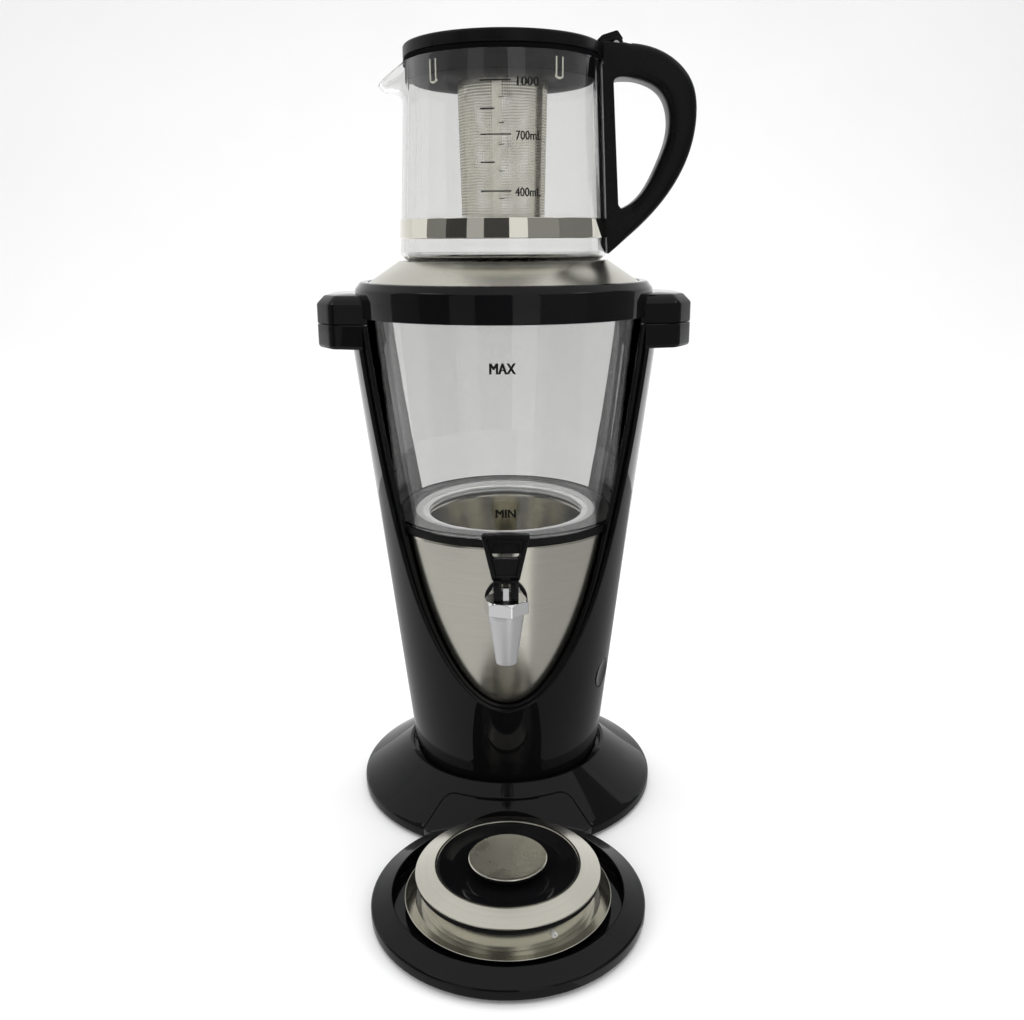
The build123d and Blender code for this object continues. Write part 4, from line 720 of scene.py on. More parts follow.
def foot_shape(foot, tray):
    """Collar, flare and rim as loops round the axis, each one as long as the foot reaches at its angle.

    The reach is the foot's radius, and the tongue's line where the tray cuts into the foot. A loop runs
    over the collar and down the flare, round the edge, and back under the foot at the wall's thickness.
    """
    path = tongue_path(foot, tray, tray.gap)
    notch = np.arctan2(path[:, 0], -path[:, 1])
    rest = np.linspace(notch[-1], np.pi, 110)[1:]
    reach = np.concatenate([np.hypot(*path.T), np.full(len(rest), foot.radius)])
    angle, reach = both_sides(np.concatenate([notch, rest]), reach)
    edge = np.where(reach < foot.radius - 1e-4, TONGUE_EDGE, RIM_EDGE)
    q, u = np.linspace(0, np.pi / 2, 5), np.linspace(0, 1, 16)
    soft, chamfer, overlap, hole = 0.0006, 0.0005, 0.002, 0.049
    slope = foot.collar_outer + u * (reach - edge - foot.collar_outer)
    bend = reach - edge * (1 - np.sin(q[1:]))
    under = reach - foot.wall + u * (foot.collar_outer - overlap - reach + foot.wall)
    vault = flare(foot, under + u * overlap) - foot.wall * 1.2
    low_z, inside = foot.edge_bottom, foot.collar_inner
    columns = [
        ([inside, inside, inside + soft], [foot.ledge, foot.collar_top - soft, foot.collar_top]),
        (foot.collar_outer - soft, foot.collar_top),
        (slope, flare(foot, slope)),
        (bend, flare(foot, bend) - edge * (1 - np.cos(q[1:]))),
        (reach - [[0, chamfer]], [low_z + chamfer, low_z]),
        (under, np.clip(vault, low_z, foot.ledge - foot.wall)),
        ([hole, hole], [foot.ledge - foot.wall, foot.ledge]),
    ]
    return swept(columns, angle, 0.0)


def swept(columns, angle, y):
    """Loops of (radius, height) columns carried round an upright axis, where both may change with the angle."""
    wide = [np.broadcast_arrays(np.atleast_2d(r), np.atleast_2d(z), 0 * angle)[:2] for r, z in columns]
    r, z = (np.concatenate([pair[k] for pair in wide], 1) for k in (0, 1))
    loops = np.stack([r * np.sin(angle), y - r * np.cos(angle), z], -1)
    return closed(loops)


def tray_shape(foot, tray):
    """Well, sloping rim and tongue as loops round the tray's own axis.

    The top is the smooth maximum of the rim's slope and the foot's flare, so that the tongue carries
    the foot's surface on. Each loop reaches the tray's circle or the tongue's line.
    """
    path = tongue_path(foot, tray, 0.0) - [0, tray.y]
    tongue = np.arctan2(path[:, 0], path[:, 1])
    rest = np.linspace(tongue[-1] + 0.01, np.pi, 110)
    reach = np.concatenate([np.hypot(*path.T), np.full(len(rest), tray.radius)])
    angle, reach = both_sides(np.concatenate([tongue, rest]), reach)
    angle = np.pi - angle
    edge = np.where(reach > tray.radius + 1e-4, TONGUE_EDGE, RIM_EDGE)
    q, u = np.linspace(0, np.pi / 2, 5), np.linspace(0, 1, 22)[1:]
    lip, blend, sink, recess, chamfer, fillet = 0.0008, 0.0006, 0.0001, 0.0005, 0.0006, 0.001

    def top(r):
        rim = tray.edge_top + (tray.well_edge - tray.edge_top) * (tray.radius - r) / (tray.radius - tray.well)
        rim = np.maximum(rim, tray.edge_top)
        ramp = flare(foot, np.hypot(r * np.sin(angle), tray.y - r * np.cos(angle)))
        return (rim + ramp + np.sqrt((rim - ramp) ** 2 + blend**2)) / 2 - sink

    bend = reach - edge * (1 - np.cos(q))
    slope = reach - edge - u * (reach - edge - tray.well - lip)
    brink = tray.well + lip * (1 - np.sin(q[1:]))
    low_z, floor = foot.edge_bottom, tray.floor
    columns = [
        (0, low_z + recess),
        (reach - [[chamfer, 0]], [low_z, low_z + chamfer]),
        (bend, top(bend) - edge * (1 - np.sin(q))),
        (slope, top(slope)),
        (brink, top(brink) - lip * (1 - np.cos(q[1:]))),
        ([tray.well, tray.well - fillet, 0], [floor + fillet, floor, floor]),
    ]
    return swept(columns, angle, tray.y)


class TEA_OT_foot(bpy.types.Operator):
    """Adds the flared foot with the collar that the tower stands in"""

    bl_idname = "tea.foot"
    bl_label = "Foot"

    def execute(self, context):
        tea = context.scene.tea_maker
        shape = foot_shape(tea.foot, tea.tray)
        add_piece("foot", shape, "base", finish("gloss_black"), ["foot_shell"])
        return {"FINISHED"}


# ---- tower --------------------------------------------------------------------
def tower_radius(tower, z, inset=0.0):
    """Radius of the tower's tapered face at a height, or of a face inside it."""
    return tower.base_radius + tower.taper * z - inset


def window_edge(tower, lip, top, count=90):
    """Right half of the window's outline as (x, z): a curve that widens with the tower, then its side."""
    low_z, mid_z, side_z = 0.114, 0.187, 0.300
    spots = [
        (0, tower.window_bottom + lip * 0.3),
        (tower.window_low - lip * 0.5, low_z),
        (tower.window_mid - lip, mid_z),
        (tower.window_top - lip, side_z),
    ]
    curve = smooth_path(spots, (1, 0), (tower.taper, 1), count)
    rise = np.linspace(0, top - side_z, 8)[1:]
    side = np.column_stack([tower.window_top - lip + tower.taper * rise, side_z + rise])
    return np.concatenate([curve, side])


def cut_tower(tower, inset, wall, lip, bottom, top, edge):
    """A tapered wall with the window cut through its front and back.

    Each row follows one point of the window's edge: the rounded edge across the wall's thickness, the
    outer face at one height round to the back edge, and the inner face back again. Rows under the window
    run right round from the front's middle to the back's. The left half is the mirror image.
    """
    path = window_edge(tower, lip, top)
    x, z = path.T
    radius = tower_radius(tower, z, inset)
    spot = np.column_stack([x, -np.sqrt(radius**2 - x**2), z])
    tangent = np.gradient(spot, axis=0)
    tangent[0] = (1, 0, 0)
    tangent /= np.linalg.norm(tangent, axis=1)[:, None]
    normal = np.column_stack([spot[:, 0] / radius, spot[:, 1] / radius, np.full(len(x), -tower.taper)])
    normal /= np.linalg.norm(normal, axis=1)[:, None]
    inwards = np.cross(tangent, normal)
    q = np.linspace(0, np.pi / 2, 6)
    margin, clear = edge * 1.6, 0.0012
    run = np.concatenate([[margin], edge * (1 - np.sin(q)), edge * (1 - np.cos(q)), [margin]])
    depth = np.concatenate([[wall], wall - edge * (1 - np.cos(q)), edge * (1 - np.sin(q)), [0]])
    strip = spot[:, None] + inwards[:, None] * run[None, :, None] - normal[:, None] * depth[None, :, None]
    rings = np.linspace(bottom, strip[0, -1, 2] - clear, 12)
    flat = np.stack(np.broadcast_arrays(0.0, -tower_radius(tower, rings[:, None], inset + depth), rings[:, None]), -1)
    flat[:, : len(run) // 2, 1] = -tower_radius(tower, rings[:, None], inset + wall)
    flat[:, len(run) // 2 :, 1] = -tower_radius(tower, rings[:, None], inset)
    front = np.concatenate([flat, strip])
    back = front[:, ::-1] * [1, -1, 1]
    u = np.linspace(0, 1, 50)[None, 1:-1]

    def face(start, skin):
        height = start[:, 2:3]
        first = np.arctan2(start[:, 0], -start[:, 1])[:, None]
        a = first + (np.pi - 2 * first) * u
        r = tower_radius(tower, height, skin)
        return np.stack([r * np.sin(a), -r * np.cos(a), height + 0 * a], -1)

    outer, inner = face(front[:, -1], inset), face(front[:, 0], inset + wall)
    loops = np.concatenate([front, outer, back, inner[:, ::-1]], 1)
    k, m, n = len(run), outer.shape[1], loops.shape[1]
    loops = np.roll(loops, -k // 2, axis=1)
    column = (np.arange(n) + k // 2) % n
    on_strip = (column < k - 1) | ((column >= k + m) & (column < 2 * k + m - 1))
    keep = ~((np.arange(len(loops) - 1)[:, None] < len(rings)) & on_strip[None, :])
    points, quads = tube(loops, keep)
    return outward(*joined((points, quads), (points * [-1, 1, 1], quads[:, ::-1])))


def ear_shape(ear, side, levels, inner):
    """One half of an ear: its plan stacked through levels, hollowed on the tower's side to a radius."""
    shoulder, flat, root, corner = ear.reach - ear.corner_run, ear.half_width - ear.corner_rise, 0.074, 0.008
    step = np.linspace(ear.half_width, -ear.half_width, 13)
    plan = [(shoulder, -ear.half_width), (ear.reach, -flat), (ear.reach, flat), (shoulder, ear.half_width)]
    plan += [(root, y) for y in step]
    points, quads = prism(plan, [corner] * 4 + [0] * len(step), levels)
    size = np.hypot(points[:, 0], points[:, 1])[:, None]
    points = points * np.where([[1, 1, 0]], np.maximum(inner / size, 1), 1)
    return outward(points * [side, 1, 1], quads)


class TEA_OT_tower(bpy.types.Operator):
    """Adds the outer skin with its two arms, the lower ears and their brackets, and the inner frame"""

    bl_idname = "tea.tower"
    bl_label = "Tower"

    def execute(self, context):
        tea = context.scene.tea_maker
        tower, ear = tea.tower, tea.ear
        skin = cut_tower(tower, 0, tower.wall, 0, tea.foot.ledge, ear.seam, tower.edge)
        edge, chamfer = 0.0025, 0.0004
        soft = [(z, inset) for z, inset in edge_levels(ear.bottom, ear.seam, edge) if z < ear.seam - 0.003]
        levels = [*soft, (ear.seam - chamfer, 0), (ear.seam, chamfer)]
        inner = tower_radius(tower, ear.bottom) - tower.wall / 2
        ears = [ear_shape(ear, side, levels, inner) for side in (1, -1)]
        drop, sink, jut = 0.013, 0.0005, 0.009
        start, end = ear.bottom - drop, ear.bottom + sink
        wall_low, wall_high = tower_radius(tower, start) - sink, tower_radius(tower, end)
        sweep = np.linspace(0, np.pi / 2, 9)
        out = wall_low + (wall_high + jut - wall_low) * (1 - np.cos(sweep))
        curve = np.column_stack([out, start + (end - start) * np.sin(sweep)])
        bracket = [*curve, (wall_high - 0.002, end)]
        half = np.arcsin((ear.half_width - 0.004) / wall_high)
        brackets = [turned(bracket, steps=24, span=(a - half, a + half)) for a in (0, np.pi)]
        shape, black = joined(skin, *ears, *brackets), finish("gloss_black")
        add_piece("tower_skin", shape, "base", black, ["housing"])
        inset, bottom, top = tower.wall + tower.seam, low("inner_frame")[2], ear.seam - 0.0005
        liner = cut_tower(tower, inset, tower.frame_wall, tower.lip, bottom, top, tower.edge)
        add_piece("window_frame", liner, "base", black, ["inner_frame"])
        return {"FINISHED"}


# ---- top ring, pot stand and water tank -----------------------------------------
class TEA_OT_top_ring(bpy.types.Operator):
    """Adds the ring on top of the tower with the two upper ears"""

    bl_idname = "tea.top_ring"
    bl_label = "Top ring"

    def execute(self, context):
        tea = context.scene.tea_maker
        ring, ear, tank, base = tea.ring, tea.ear, tea.tank, tea.ear.seam + tea.tower.seam
        inner, lip = ring.radius - 0.0032, tank.top_radius - tank.wall - 0.0009
        cone, hook = ring.stand_foot + 0.0005, ring.stand_foot - 0.0039
        body = lathe(
            [
                (inner, ring.bottom, 0.0004),
                (ring.radius, ring.bottom, 0.0006),
                (ring.radius + 0.0002, ring.top - 0.0045, 0.003),
                (ring.radius - 0.0034, ring.top, 0.0025),
                (cone, ring.top, 0.0004),
                (cone, ring.stand_foot_height),
                (hook, ring.stand_foot_height),
                (hook, tank.top - 0.005, 0.0008),
                (lip, tank.top - 0.005, 0.0008),
                (lip, tank.top + 0.001),
                (inner, tank.top + 0.001),
            ],
            arc=6,
        )
        soft, bevel_foot = 0.0008, ear.top - ear.bevel
        levels = [
            (base, 0.0004),
            (base + 0.0004, 0),
            (bevel_foot - soft, 0),
            (bevel_foot + soft * 0.4, soft * 0.5),
            (ear.top - soft * 0.5, ear.bevel - soft * 0.4),
            (ear.top, ear.bevel + soft),
        ]
        ears = [ear_shape(ear, side, levels, inner + 0.0012) for side in (1, -1)]
        add_piece("top_ring_and_ears", joined(body, *ears), "base", finish("gloss_black"), ["top_ring"])
        return {"FINISHED"}


class TEA_OT_pot_stand(bpy.types.Operator):
    """Adds the pressed steel cone that the teapot stands on, with its filling neck"""

    bl_idname = "tea.pot_stand"
    bl_label = "Pot stand"

    def execute(self, context):
        ring = context.scene.tea_maker.ring
        foot, top, sheet = ring.stand_foot_height, ring.stand_height, ring.sheet
        neck_bottom = top - ring.neck
        cone = lathe(
            [
                (ring.stand_foot, foot, 0.0002),
                (ring.stand_foot, foot + sheet, 0.0004),
                (ring.stand_top, top, 0.0012),
                (ring.mouth, top, 0.0012),
                (ring.mouth, neck_bottom, 0.0003),
                (ring.mouth + sheet, neck_bottom, 0.0003),
                (ring.mouth + sheet, top - sheet, 0.0004),
                (ring.stand_top - 0.0005, top - sheet, 0.0006),
                (ring.stand_foot - 0.0019, foot, 0.0002),
            ]
        )
        add_piece("pot_stand_cone", cone, "base", finish("ring_steel", 0, 0), ["pot_stand"])
        return {"FINISHED"}


class TEA_OT_water_tank(bpy.types.Operator):
    """Adds the glass tank, its gasket, the ring in its hole, the steel shell under it and the shell's bowl"""

    bl_idname = "tea.water_tank"
    bl_label = "Water tank"

    def execute(self, context):
        tea = context.scene.tea_maker
        tank, tower, sheet = tea.tank, tea.tower, tea.ring.sheet
        z, wall, soft = tank.bottom, tank.wall, 0.0012
        hole, floor = tank.hole + 0.0036, z + 0.0016
        glass = lathe(
            [
                (hole, z, 0.0007),
                (tank.bottom_radius, z, soft),
                (tank.top_radius, tank.top, soft),
                (tank.top_radius - wall, tank.top, soft),
                (tank.bottom_radius - wall, floor, soft),
                (hole, floor, 0.0007),
            ]
        )
        add_piece("tank_glass", glass, "base", finish("clear_glass"), ["glass_tank"])

        shelf, face, seat, lip = z - tank.gasket, tank.bottom_radius + 0.0009, tank.bottom_radius - 0.0035, 0.0005
        gasket = lathe(
            [
                (seat, shelf),
                (face, shelf, 0.0006),
                (face, z + lip, 0.0002),
                (face - lip, z + lip, 0.0002),
                (face - lip, z),
                (seat, z),
            ],
            arc=4,
        )
        add_piece("tank_gasket_ring", gasket, "base", finish("dark_rubber"), ["tank_gasket"])

        inside, outside = tank.hole - 0.0012, tank.hole + 0.0034
        ring = lathe(
            [
                (inside, shelf, 0.0008),
                (seat, shelf),
                (seat, z - 0.0002),
                (outside, z - 0.0002),
                (outside, z + 0.0012, 0.0004),
                (inside, z + 0.0006, 0.0008),
            ],
            arc=6,
        )
        add_piece("tank_hole_ring", ring, "base", finish("hole_silicone"))

        foot, head = [tower_radius(tower, h, tank.shell_inset) for h in (tank.shell_bottom, shelf)]
        shell = lathe(
            [
                (foot - sheet, tank.shell_bottom),
                (foot, tank.shell_bottom, 0.0003),
                (head, shelf, 0.002),
                (tank.bowl_mouth + 0.009, shelf, 0.0003),
                (tank.bowl_mouth + 0.009, shelf - sheet, 0.0003),
                (head - sheet * 1.1, shelf - sheet, 0.001),
            ]
        )
        add_piece("steel_wall", shell, "base", finish("brushed_wall"), ["steel_shell"])

        top, floor = shelf - sheet, tank.bowl_floor_height
        flange = tower_radius(tower, top, tank.shell_inset + sheet) - 0.0006
        bowl = lathe(
            [
                (0, floor - sheet),
                (tank.bowl_floor + sheet, floor - sheet, 0.009),
                (tank.bowl_mouth + sheet, top - sheet, 0.001),
                (flange, top - sheet, 0.0003),
                (flange, top, 0.0003),
                (tank.bowl_mouth, top, 0.002),
                (tank.bowl_floor, floor, 0.008),
                (0, floor),
            ],
            steps=144,
            arc=8,
        )
        # the bowl wears brightened steel, painted light
        add_piece("steel_bowl", bowl, "base", finish("bowl_steel"), ["water_bowl"])
        return {"FINISHED"}


# ---- shapes for the tap, the tray and the lids -----------------------------------
def sideways(shape):
    """A shape made from an (x, height) outline stacked along Z, turned so that its stack runs along -Y."""
    points, quads = shape
    return points[:, [0, 2, 1]] * [1, -1, 1], quads[:, ::-1]


def hexagon_shape(tap, hole=0.0021, steps=16):
    """The bonnet: a hexagon whose corners are cut by a cone, as loops round the tap's axis.

    At each point of the hexagon's outline the edge drops from the top by a share of the distance
    beyond the cone's circle, which lies inside the corners. The bonnet is screwed in a little skew.
    """
    corner, cut, drop, skew, soft = tap.bonnet_flats / np.sqrt(3), 0.0016, 0.875, 14, 0.00025
    turn = np.radians(skew - 90 + 60 * np.arange(6))
    spots = rounded(corner * np.column_stack([np.cos(turn), np.sin(turn)]), 0.0008, 4)
    outline = resampled(np.concatenate([spots, spots[:1]]), 6 * steps + 1)[:-1]
    size, circle = np.hypot(*outline.T), corner - cut
    beyond = np.maximum(size - circle, 0)
    bottom, top = tap.bonnet_bottom, tap.bonnet_bottom + tap.bonnet_height
    edge = top - beyond * drop
    rows = [
        (hole, bottom),
        (size - soft, bottom),
        (size, bottom + soft),
        (size, edge - soft),
        (size - soft * 0.4, edge - soft * 0.3),
        (size - soft - beyond * 0.15, edge + beyond * 0.12),
        (np.minimum(size - 2 * soft, circle), top),
        (hole + 0.0004, top),
        (hole, top - 0.0004),
    ]
    radius, height = np.array([np.broadcast_arrays(*row, size)[:2] for row in rows]).transpose(1, 0, 2)
    flat = outline / size[:, None]
    loops = np.concatenate([flat[None] * radius[..., None], height[..., None]], -1) + [0, tap.y, 0]
    return closed(loops)


def matched(guides, loops, centre):
    """Closed loops round a centre, each sampled at the same angles: all those of the guide loops."""
    centre = np.array(centre)

    def angles(loop):
        return np.arctan2(*(loop - centre)[:, ::-1].T)

    every = np.unique(np.round(np.concatenate([angles(guide) for guide in guides]), 3))
    result = []
    for loop in loops:
        order = np.argsort(angles(loop))
        a, p = angles(loop)[order], loop[order]
        a, p = np.concatenate([a[-1:] - 2 * np.pi, a, a[:1] + 2 * np.pi]), np.concatenate([p[-1:], p, p[:1]])
        result.append(np.column_stack([np.interp(every, a, p[:, 0]), np.interp(every, a, p[:, 1])]))
    return result


def paddle_shape(tap):
    """The lever's paddle: its tapered outline carried through its edge, its recess and its slot.

    The rows run from the slot's back edge over the back face, round the side to the front face, down
    into the recess and through the slot. Each row is an (x, height) loop at its own depth.
    """
    half_low, half_high = 0.008, high("tap_lever")[0] + 0.0014
    bottom, top, half = tap.paddle_bottom, tap.paddle_top + 0.0013, tap.paddle_thickness / 2
    shoulder = top - 0.0006
    corners = [(-half_low, bottom), (half_low, bottom), (half_high, shoulder), (0, top), (-half_high, shoulder)]

    def outline(inset):
        return rounded(corners, [0.0015, 0.0015, 0.0014, 0.06, 0.0014], 8, inset)

    wide, tall, middle = 0.00765, 0.00445, bottom + tap.slot_height
    box = [(-wide, middle - tall), (wide, middle - tall), (wide, middle + tall), (-wide, middle + tall)]

    def slot(grow):
        return rounded(box, 0.0016, 6, -grow)

    rows = [
        (slot(0), half - 0.0004),
        (slot(0.0004), half),
        (outline(0.0012), half),
        (outline(0.0005), half - 0.0003),
        (outline(0.0002), half - 0.0010),
        (outline(0.0), 0.0002),
        (outline(0.0002), 0.0006 - half),
        (outline(0.0007), -half),
        (outline(0.0026), -half),
        (outline(0.0029), 0.0003 - half),
        (outline(0.0033), 0.0011 - half),
        (slot(0.0004), 0.0011 - half),
        (slot(0), 0.0015 - half),
    ]
    loops = matched([outline(0), slot(0)], [loop for loop, _ in rows], (0, middle))
    loops = [np.column_stack([p[:, 0], np.full(len(p), tap.y + y), p[:, 1]]) for p, (_, y) in zip(loops, rows)]
    return closed(np.array(loops))


def prong_shape(tap, side):
    """One leg of the lever's fork, with a round heel and a small toe."""
    toe, heel, soft, knee, gap = 0.001, 0.003, 0.0004, 0.0015, 0.0003
    front, back = tap.y - 0.007, tap.y + 0.0042
    foot, head = tap.bonnet_bottom + tap.bonnet_height + gap, tap.paddle_bottom + knee
    outline = [(front, foot), (back, foot), (back, head), (front, head)]
    ends = [side * x for x in (0.0026, 0.0072)]
    levels = edge_levels(min(ends), max(ends), soft, 3)
    points, quads = prism(outline, [toe, heel, soft, knee], levels, 6)
    return outward(points[:, [2, 0, 1]], quads)


class TEA_OT_tap(bpy.types.Operator):
    """Adds the tap's nozzle and neck, the hexagonal bonnet and the flip lever"""

    bl_idname = "tea.tap"
    bl_label = "Tap"

    def execute(self, context):
        tap = context.scene.tea_maker.tap
        bonnet, seat, chamber = tap.bonnet_bottom, tap.bonnet_bottom - 0.014, 0.0075
        nozzle = lathe(
            [
                (tap.bore, tap.nozzle_bottom, 0.0007),
                (tap.nozzle_tip, tap.nozzle_bottom, 0.0009),
                (tap.nozzle_top, bonnet - 0.003, 0.004),
                (tap.nozzle_top, bonnet, 0.0006),
                (chamber, bonnet),
                (chamber, seat, 0.0004),
                (tap.bore, seat, 0.0004),
            ],
            tap.y,
            96,
            6,
        )
        neck = rod(tap.shank_radius, (0, tap.y + 0.008, tap.shank_height), (0, high("tap_body")[1], tap.shank_height))
        add_piece("tap_nozzle", joined(nozzle, neck), "base", finish("satin_chrome"), ["tap_body"])
        add_piece("tap_hexagon", hexagon_shape(tap), "base", finish("chrome"), ["tap_bonnet"], 20)
        # a thin black plate closes the back of the slot's upper part and leaves its lowest strip open: a dark sheet
        # that stands for the shade in the slot
        back, wide = tap.y + tap.paddle_thickness / 2, 0.0081
        sill, lintel = tap.paddle_bottom + tap.slot_height - 0.0024, tap.paddle_bottom + tap.slot_height + 0.0049
        slot_shade_plate = [(-wide, sill), (wide, sill), (wide, lintel), (-wide, lintel)]
        slot_shade_plate = sideways(prism(slot_shade_plate, 0, [(0.0002 - back, 0), (0.0012 - back, 0)]))
        shape = joined(paddle_shape(tap), prong_shape(tap, 1), prong_shape(tap, -1), slot_shade_plate)
        add_piece("flip_lever", shape, "tap_lever", finish("lever_black"), ["tap_lever"])
        return {"FINISHED"}


# ---- power button -----------------------------------------------------------------
def button_place(tower):
    """Middle of the button on the tower's face, the direction out of the wall, and a level direction."""
    azimuth, height, tilt = np.radians(64.5), 0.089, np.arctan(tower.taper)
    out = np.array([np.sin(azimuth) * np.cos(tilt), -np.cos(azimuth) * np.cos(tilt), -np.sin(tilt)])
    radius = tower_radius(tower, height)
    return (radius * np.sin(azimuth), -radius * np.cos(azimuth), height), out, (np.cos(azimuth), np.sin(azimuth), 0)


class TEA_OT_button(bpy.types.Operator):
    """Adds the push button with its dished face, and opens the skin round it and round the flex bush"""

    bl_idname = "tea.button"
    bl_label = "Power button"

    def execute(self, context):
        tower = context.scene.tea_maker.tower
        radius, height, hollow, skirt, stem, play = 0.0097, 0.006, 0.06, 0.0015, 0.003, 0.00035
        spread = np.linspace(0, radius - 0.0005, 12)
        face = hollow - 0.0008 - np.sqrt(hollow**2 - spread**2)
        outline = [
            *zip(spread, face),
            (radius - 0.0001, face[-1] - 0.0002),
            (radius, face[-1] - 0.0006),
            (radius, 0.0017 - height),
            (radius + skirt, 0.0017 - height),
            (radius + skirt, -height),
            (stem, -height),
            (stem, -height - 0.003),
            (0, -height - 0.003),
        ]
        spot, out, level = button_place(tower)
        button = aimed(turned(outline, steps=96), spot, out, level)
        add_piece("power_key", button, "power_button", finish("gloss_black"), ["power_button"])
        well = aimed(rod(radius + play, (0, 0, -height), (0, 0, height), 0, 96), spot, out, level)
        bore, bush_height, reach = 0.0065, 0.046, 0.009
        back = tower_radius(tower, bush_height)
        bush = rod(bore, (0, back - reach, bush_height), (0, back + reach, bush_height), 0, 64)
        carve(bpy.data.objects["tower_skin"], well, bush)
        return {"FINISHED"}


# ---- drip tray and dish -------------------------------------------------------------
class TEA_OT_tray(bpy.types.Operator):
    """Adds the drip tray with its tongue, and the loose steel dish in its well"""

    bl_idname = "tea.tray"
    bl_label = "Drip tray"

    def execute(self, context):
        tea = context.scene.tea_maker
        tray = tea.tray
        shape = tray_shape(tea.foot, tray)
        add_piece("tray", shape, "tray_unit", finish("gloss_black"), ["tray_base"])
        rim, floor, under, sheet, soft = tray.dish_rim, tray.dish_floor, tray.dish_floor - 0.001, 0.001, 0.0004
        level, bead = tray.dish - 0.0063, (0.038, 0.0395)
        dish = lathe(
            [
                (0, floor),
                (level, floor, 0.002),
                (tray.dish - 0.0008, rim - 0.0004, 0.0005),
                (tray.dish, rim, soft),
                (tray.dish, rim - sheet, soft),
                (level + 0.0003, under, 0.002),
                (bead[1], under, soft),
                (bead[1], tray.floor, soft),
                (bead[0], tray.floor, soft),
                (bead[0], under, soft),
                (0, under),
            ],
            tray.y,
        )
        add_piece("steel_dish", dish, "drip_dish", finish("ring_steel", 0, tray.y), ["drip_dish"])
        return {"FINISHED"}


# ---- tank lid ---------------------------------------------------------------------------
class TEA_OT_tank_lid(bpy.types.Operator):
    """Adds the tank lid: steel skirt, seal, steel rim, black recess, knob and the knob's steel cap"""

    bl_idname = "tea.tank_lid"
    bl_label = "Tank lid"

    def execute(self, context):
        tea = context.scene.tea_maker
        lid, y = tea.tank_lid, tea.tray.y
        steel, black = finish("ring_steel", 0, y), finish("gloss_black")
        foot, top, seal_top, wall = tea.tray.dish_floor, lid.skirt_top, lid.skirt_top + 0.0028, 0.001
        inside, post = lid.skirt - 0.0187, 0.009
        cap_low = lid.knob_top - 0.001
        knob_low = cap_low - 0.004
        skirt = [
            (lid.skirt - wall, foot, 0.0003),
            (lid.skirt, foot, 0.0003),
            (lid.skirt, top, 0.0012),
            (inside, top, 0.0003),
            (inside, top - wall, 0.0003),
            (lid.skirt - wall, top - wall, 0.0006),
        ]
        edge = lid.rim - 0.0005
        seal = [
            (inside, top),
            (edge, top, 0.0005),
            (edge - 0.0006, (top + seal_top) / 2, 0.0004),
            (edge, seal_top, 0.0005),
            (inside, seal_top),
        ]
        fold, hem = lid.inner_height - 0.002, lid.inner - 0.0006
        rim = [
            (lid.inner, seal_top),
            (lid.rim - 0.0008, seal_top, 0.0006),
            (lid.rim, lid.rim_height - 0.0006, 0.0006),
            (lid.rim - 0.0002, lid.rim_height, 0.0006),
            (lid.inner + 0.0008, lid.inner_height, 0.0006),
            (hem, lid.inner_height, 0.0005),
            (hem, fold, 0.0003),
            (lid.inner, fold, 0.0003),
        ]
        edge, dish_top, floor = lid.inner - 0.0009, lid.inner_height - 0.001, seal_top + 0.0018
        recess = [
            (0, seal_top),
            (edge, seal_top, 0.0003),
            (edge, dish_top, 0.0005),
            (edge - 0.0015, dish_top, 0.001),
            (edge - 0.008, floor + 0.0007, 0.006),
            (0.024, floor, 0.01),
            (post, floor, 0.002),
            (post, knob_low),
            (0, knob_low),
        ]
        face = lid.knob - 0.0004
        knob = [
            (0, knob_low),
            (post - 0.001, knob_low, 0.001),
            (face - 0.005, knob_low + 0.0009, 0.004),
            (face, knob_low + 0.0024, 0.0005),
            (face, cap_low),
            (0, cap_low),
        ]
        for name, corners, steps, arc, slot, material, node in [
            ("lid_skirt", skirt, 192, 5, "brushed_steel", steel, "tank_lid_skirt"),
            ("lid_seal", seal, 192, 5, "black_rubber", finish("dark_rubber"), "tank_lid_seal"),
            ("lid_rim", rim, 192, 6, "brushed_steel", steel, "tank_lid_rim"),
            ("lid_recess", recess, 160, 6, "gloss_black", black, "tank_lid_dish"),
            ("lid_knob", knob, 128, 6, "gloss_black", black, "tank_lid_knob"),
        ]:
            add_piece(name, lathe(corners, y, steps, arc), "tank_lid", material, [node])

        spread = np.linspace(0, lid.knob - 0.0012, 16)
        outline = [
            *zip(spread, lid.knob_top - 0.0009 + 0.0008 * (spread / spread[-1]) ** 2.2),
            (lid.knob - 0.0007, lid.knob_top),
            (lid.knob - 0.0003, lid.knob_top),
            (lid.knob, lid.knob_top - 0.0003),
            (lid.knob, cap_low + 0.0001),
            (lid.knob - 0.0003, cap_low),
            (0, cap_low),
        ]
        cap = turned(outline, y=y, steps=128)
        # the cap wears brightened steel, painted light
        add_piece("knob_cap", cap, "tank_lid", finish("polished_steel"), ["tank_lid_knob_cap"])
        return {"FINISHED"}


# ---- teapot -----------------------------------------------------------------------
def jug_radius(pot, z, inset=0.0):
    """Radius of the jug's tapered face at a height, or of a face inside or outside it."""
    return pot.base_radius - pot.taper * (z - low("teapot_glass")[2]) - inset


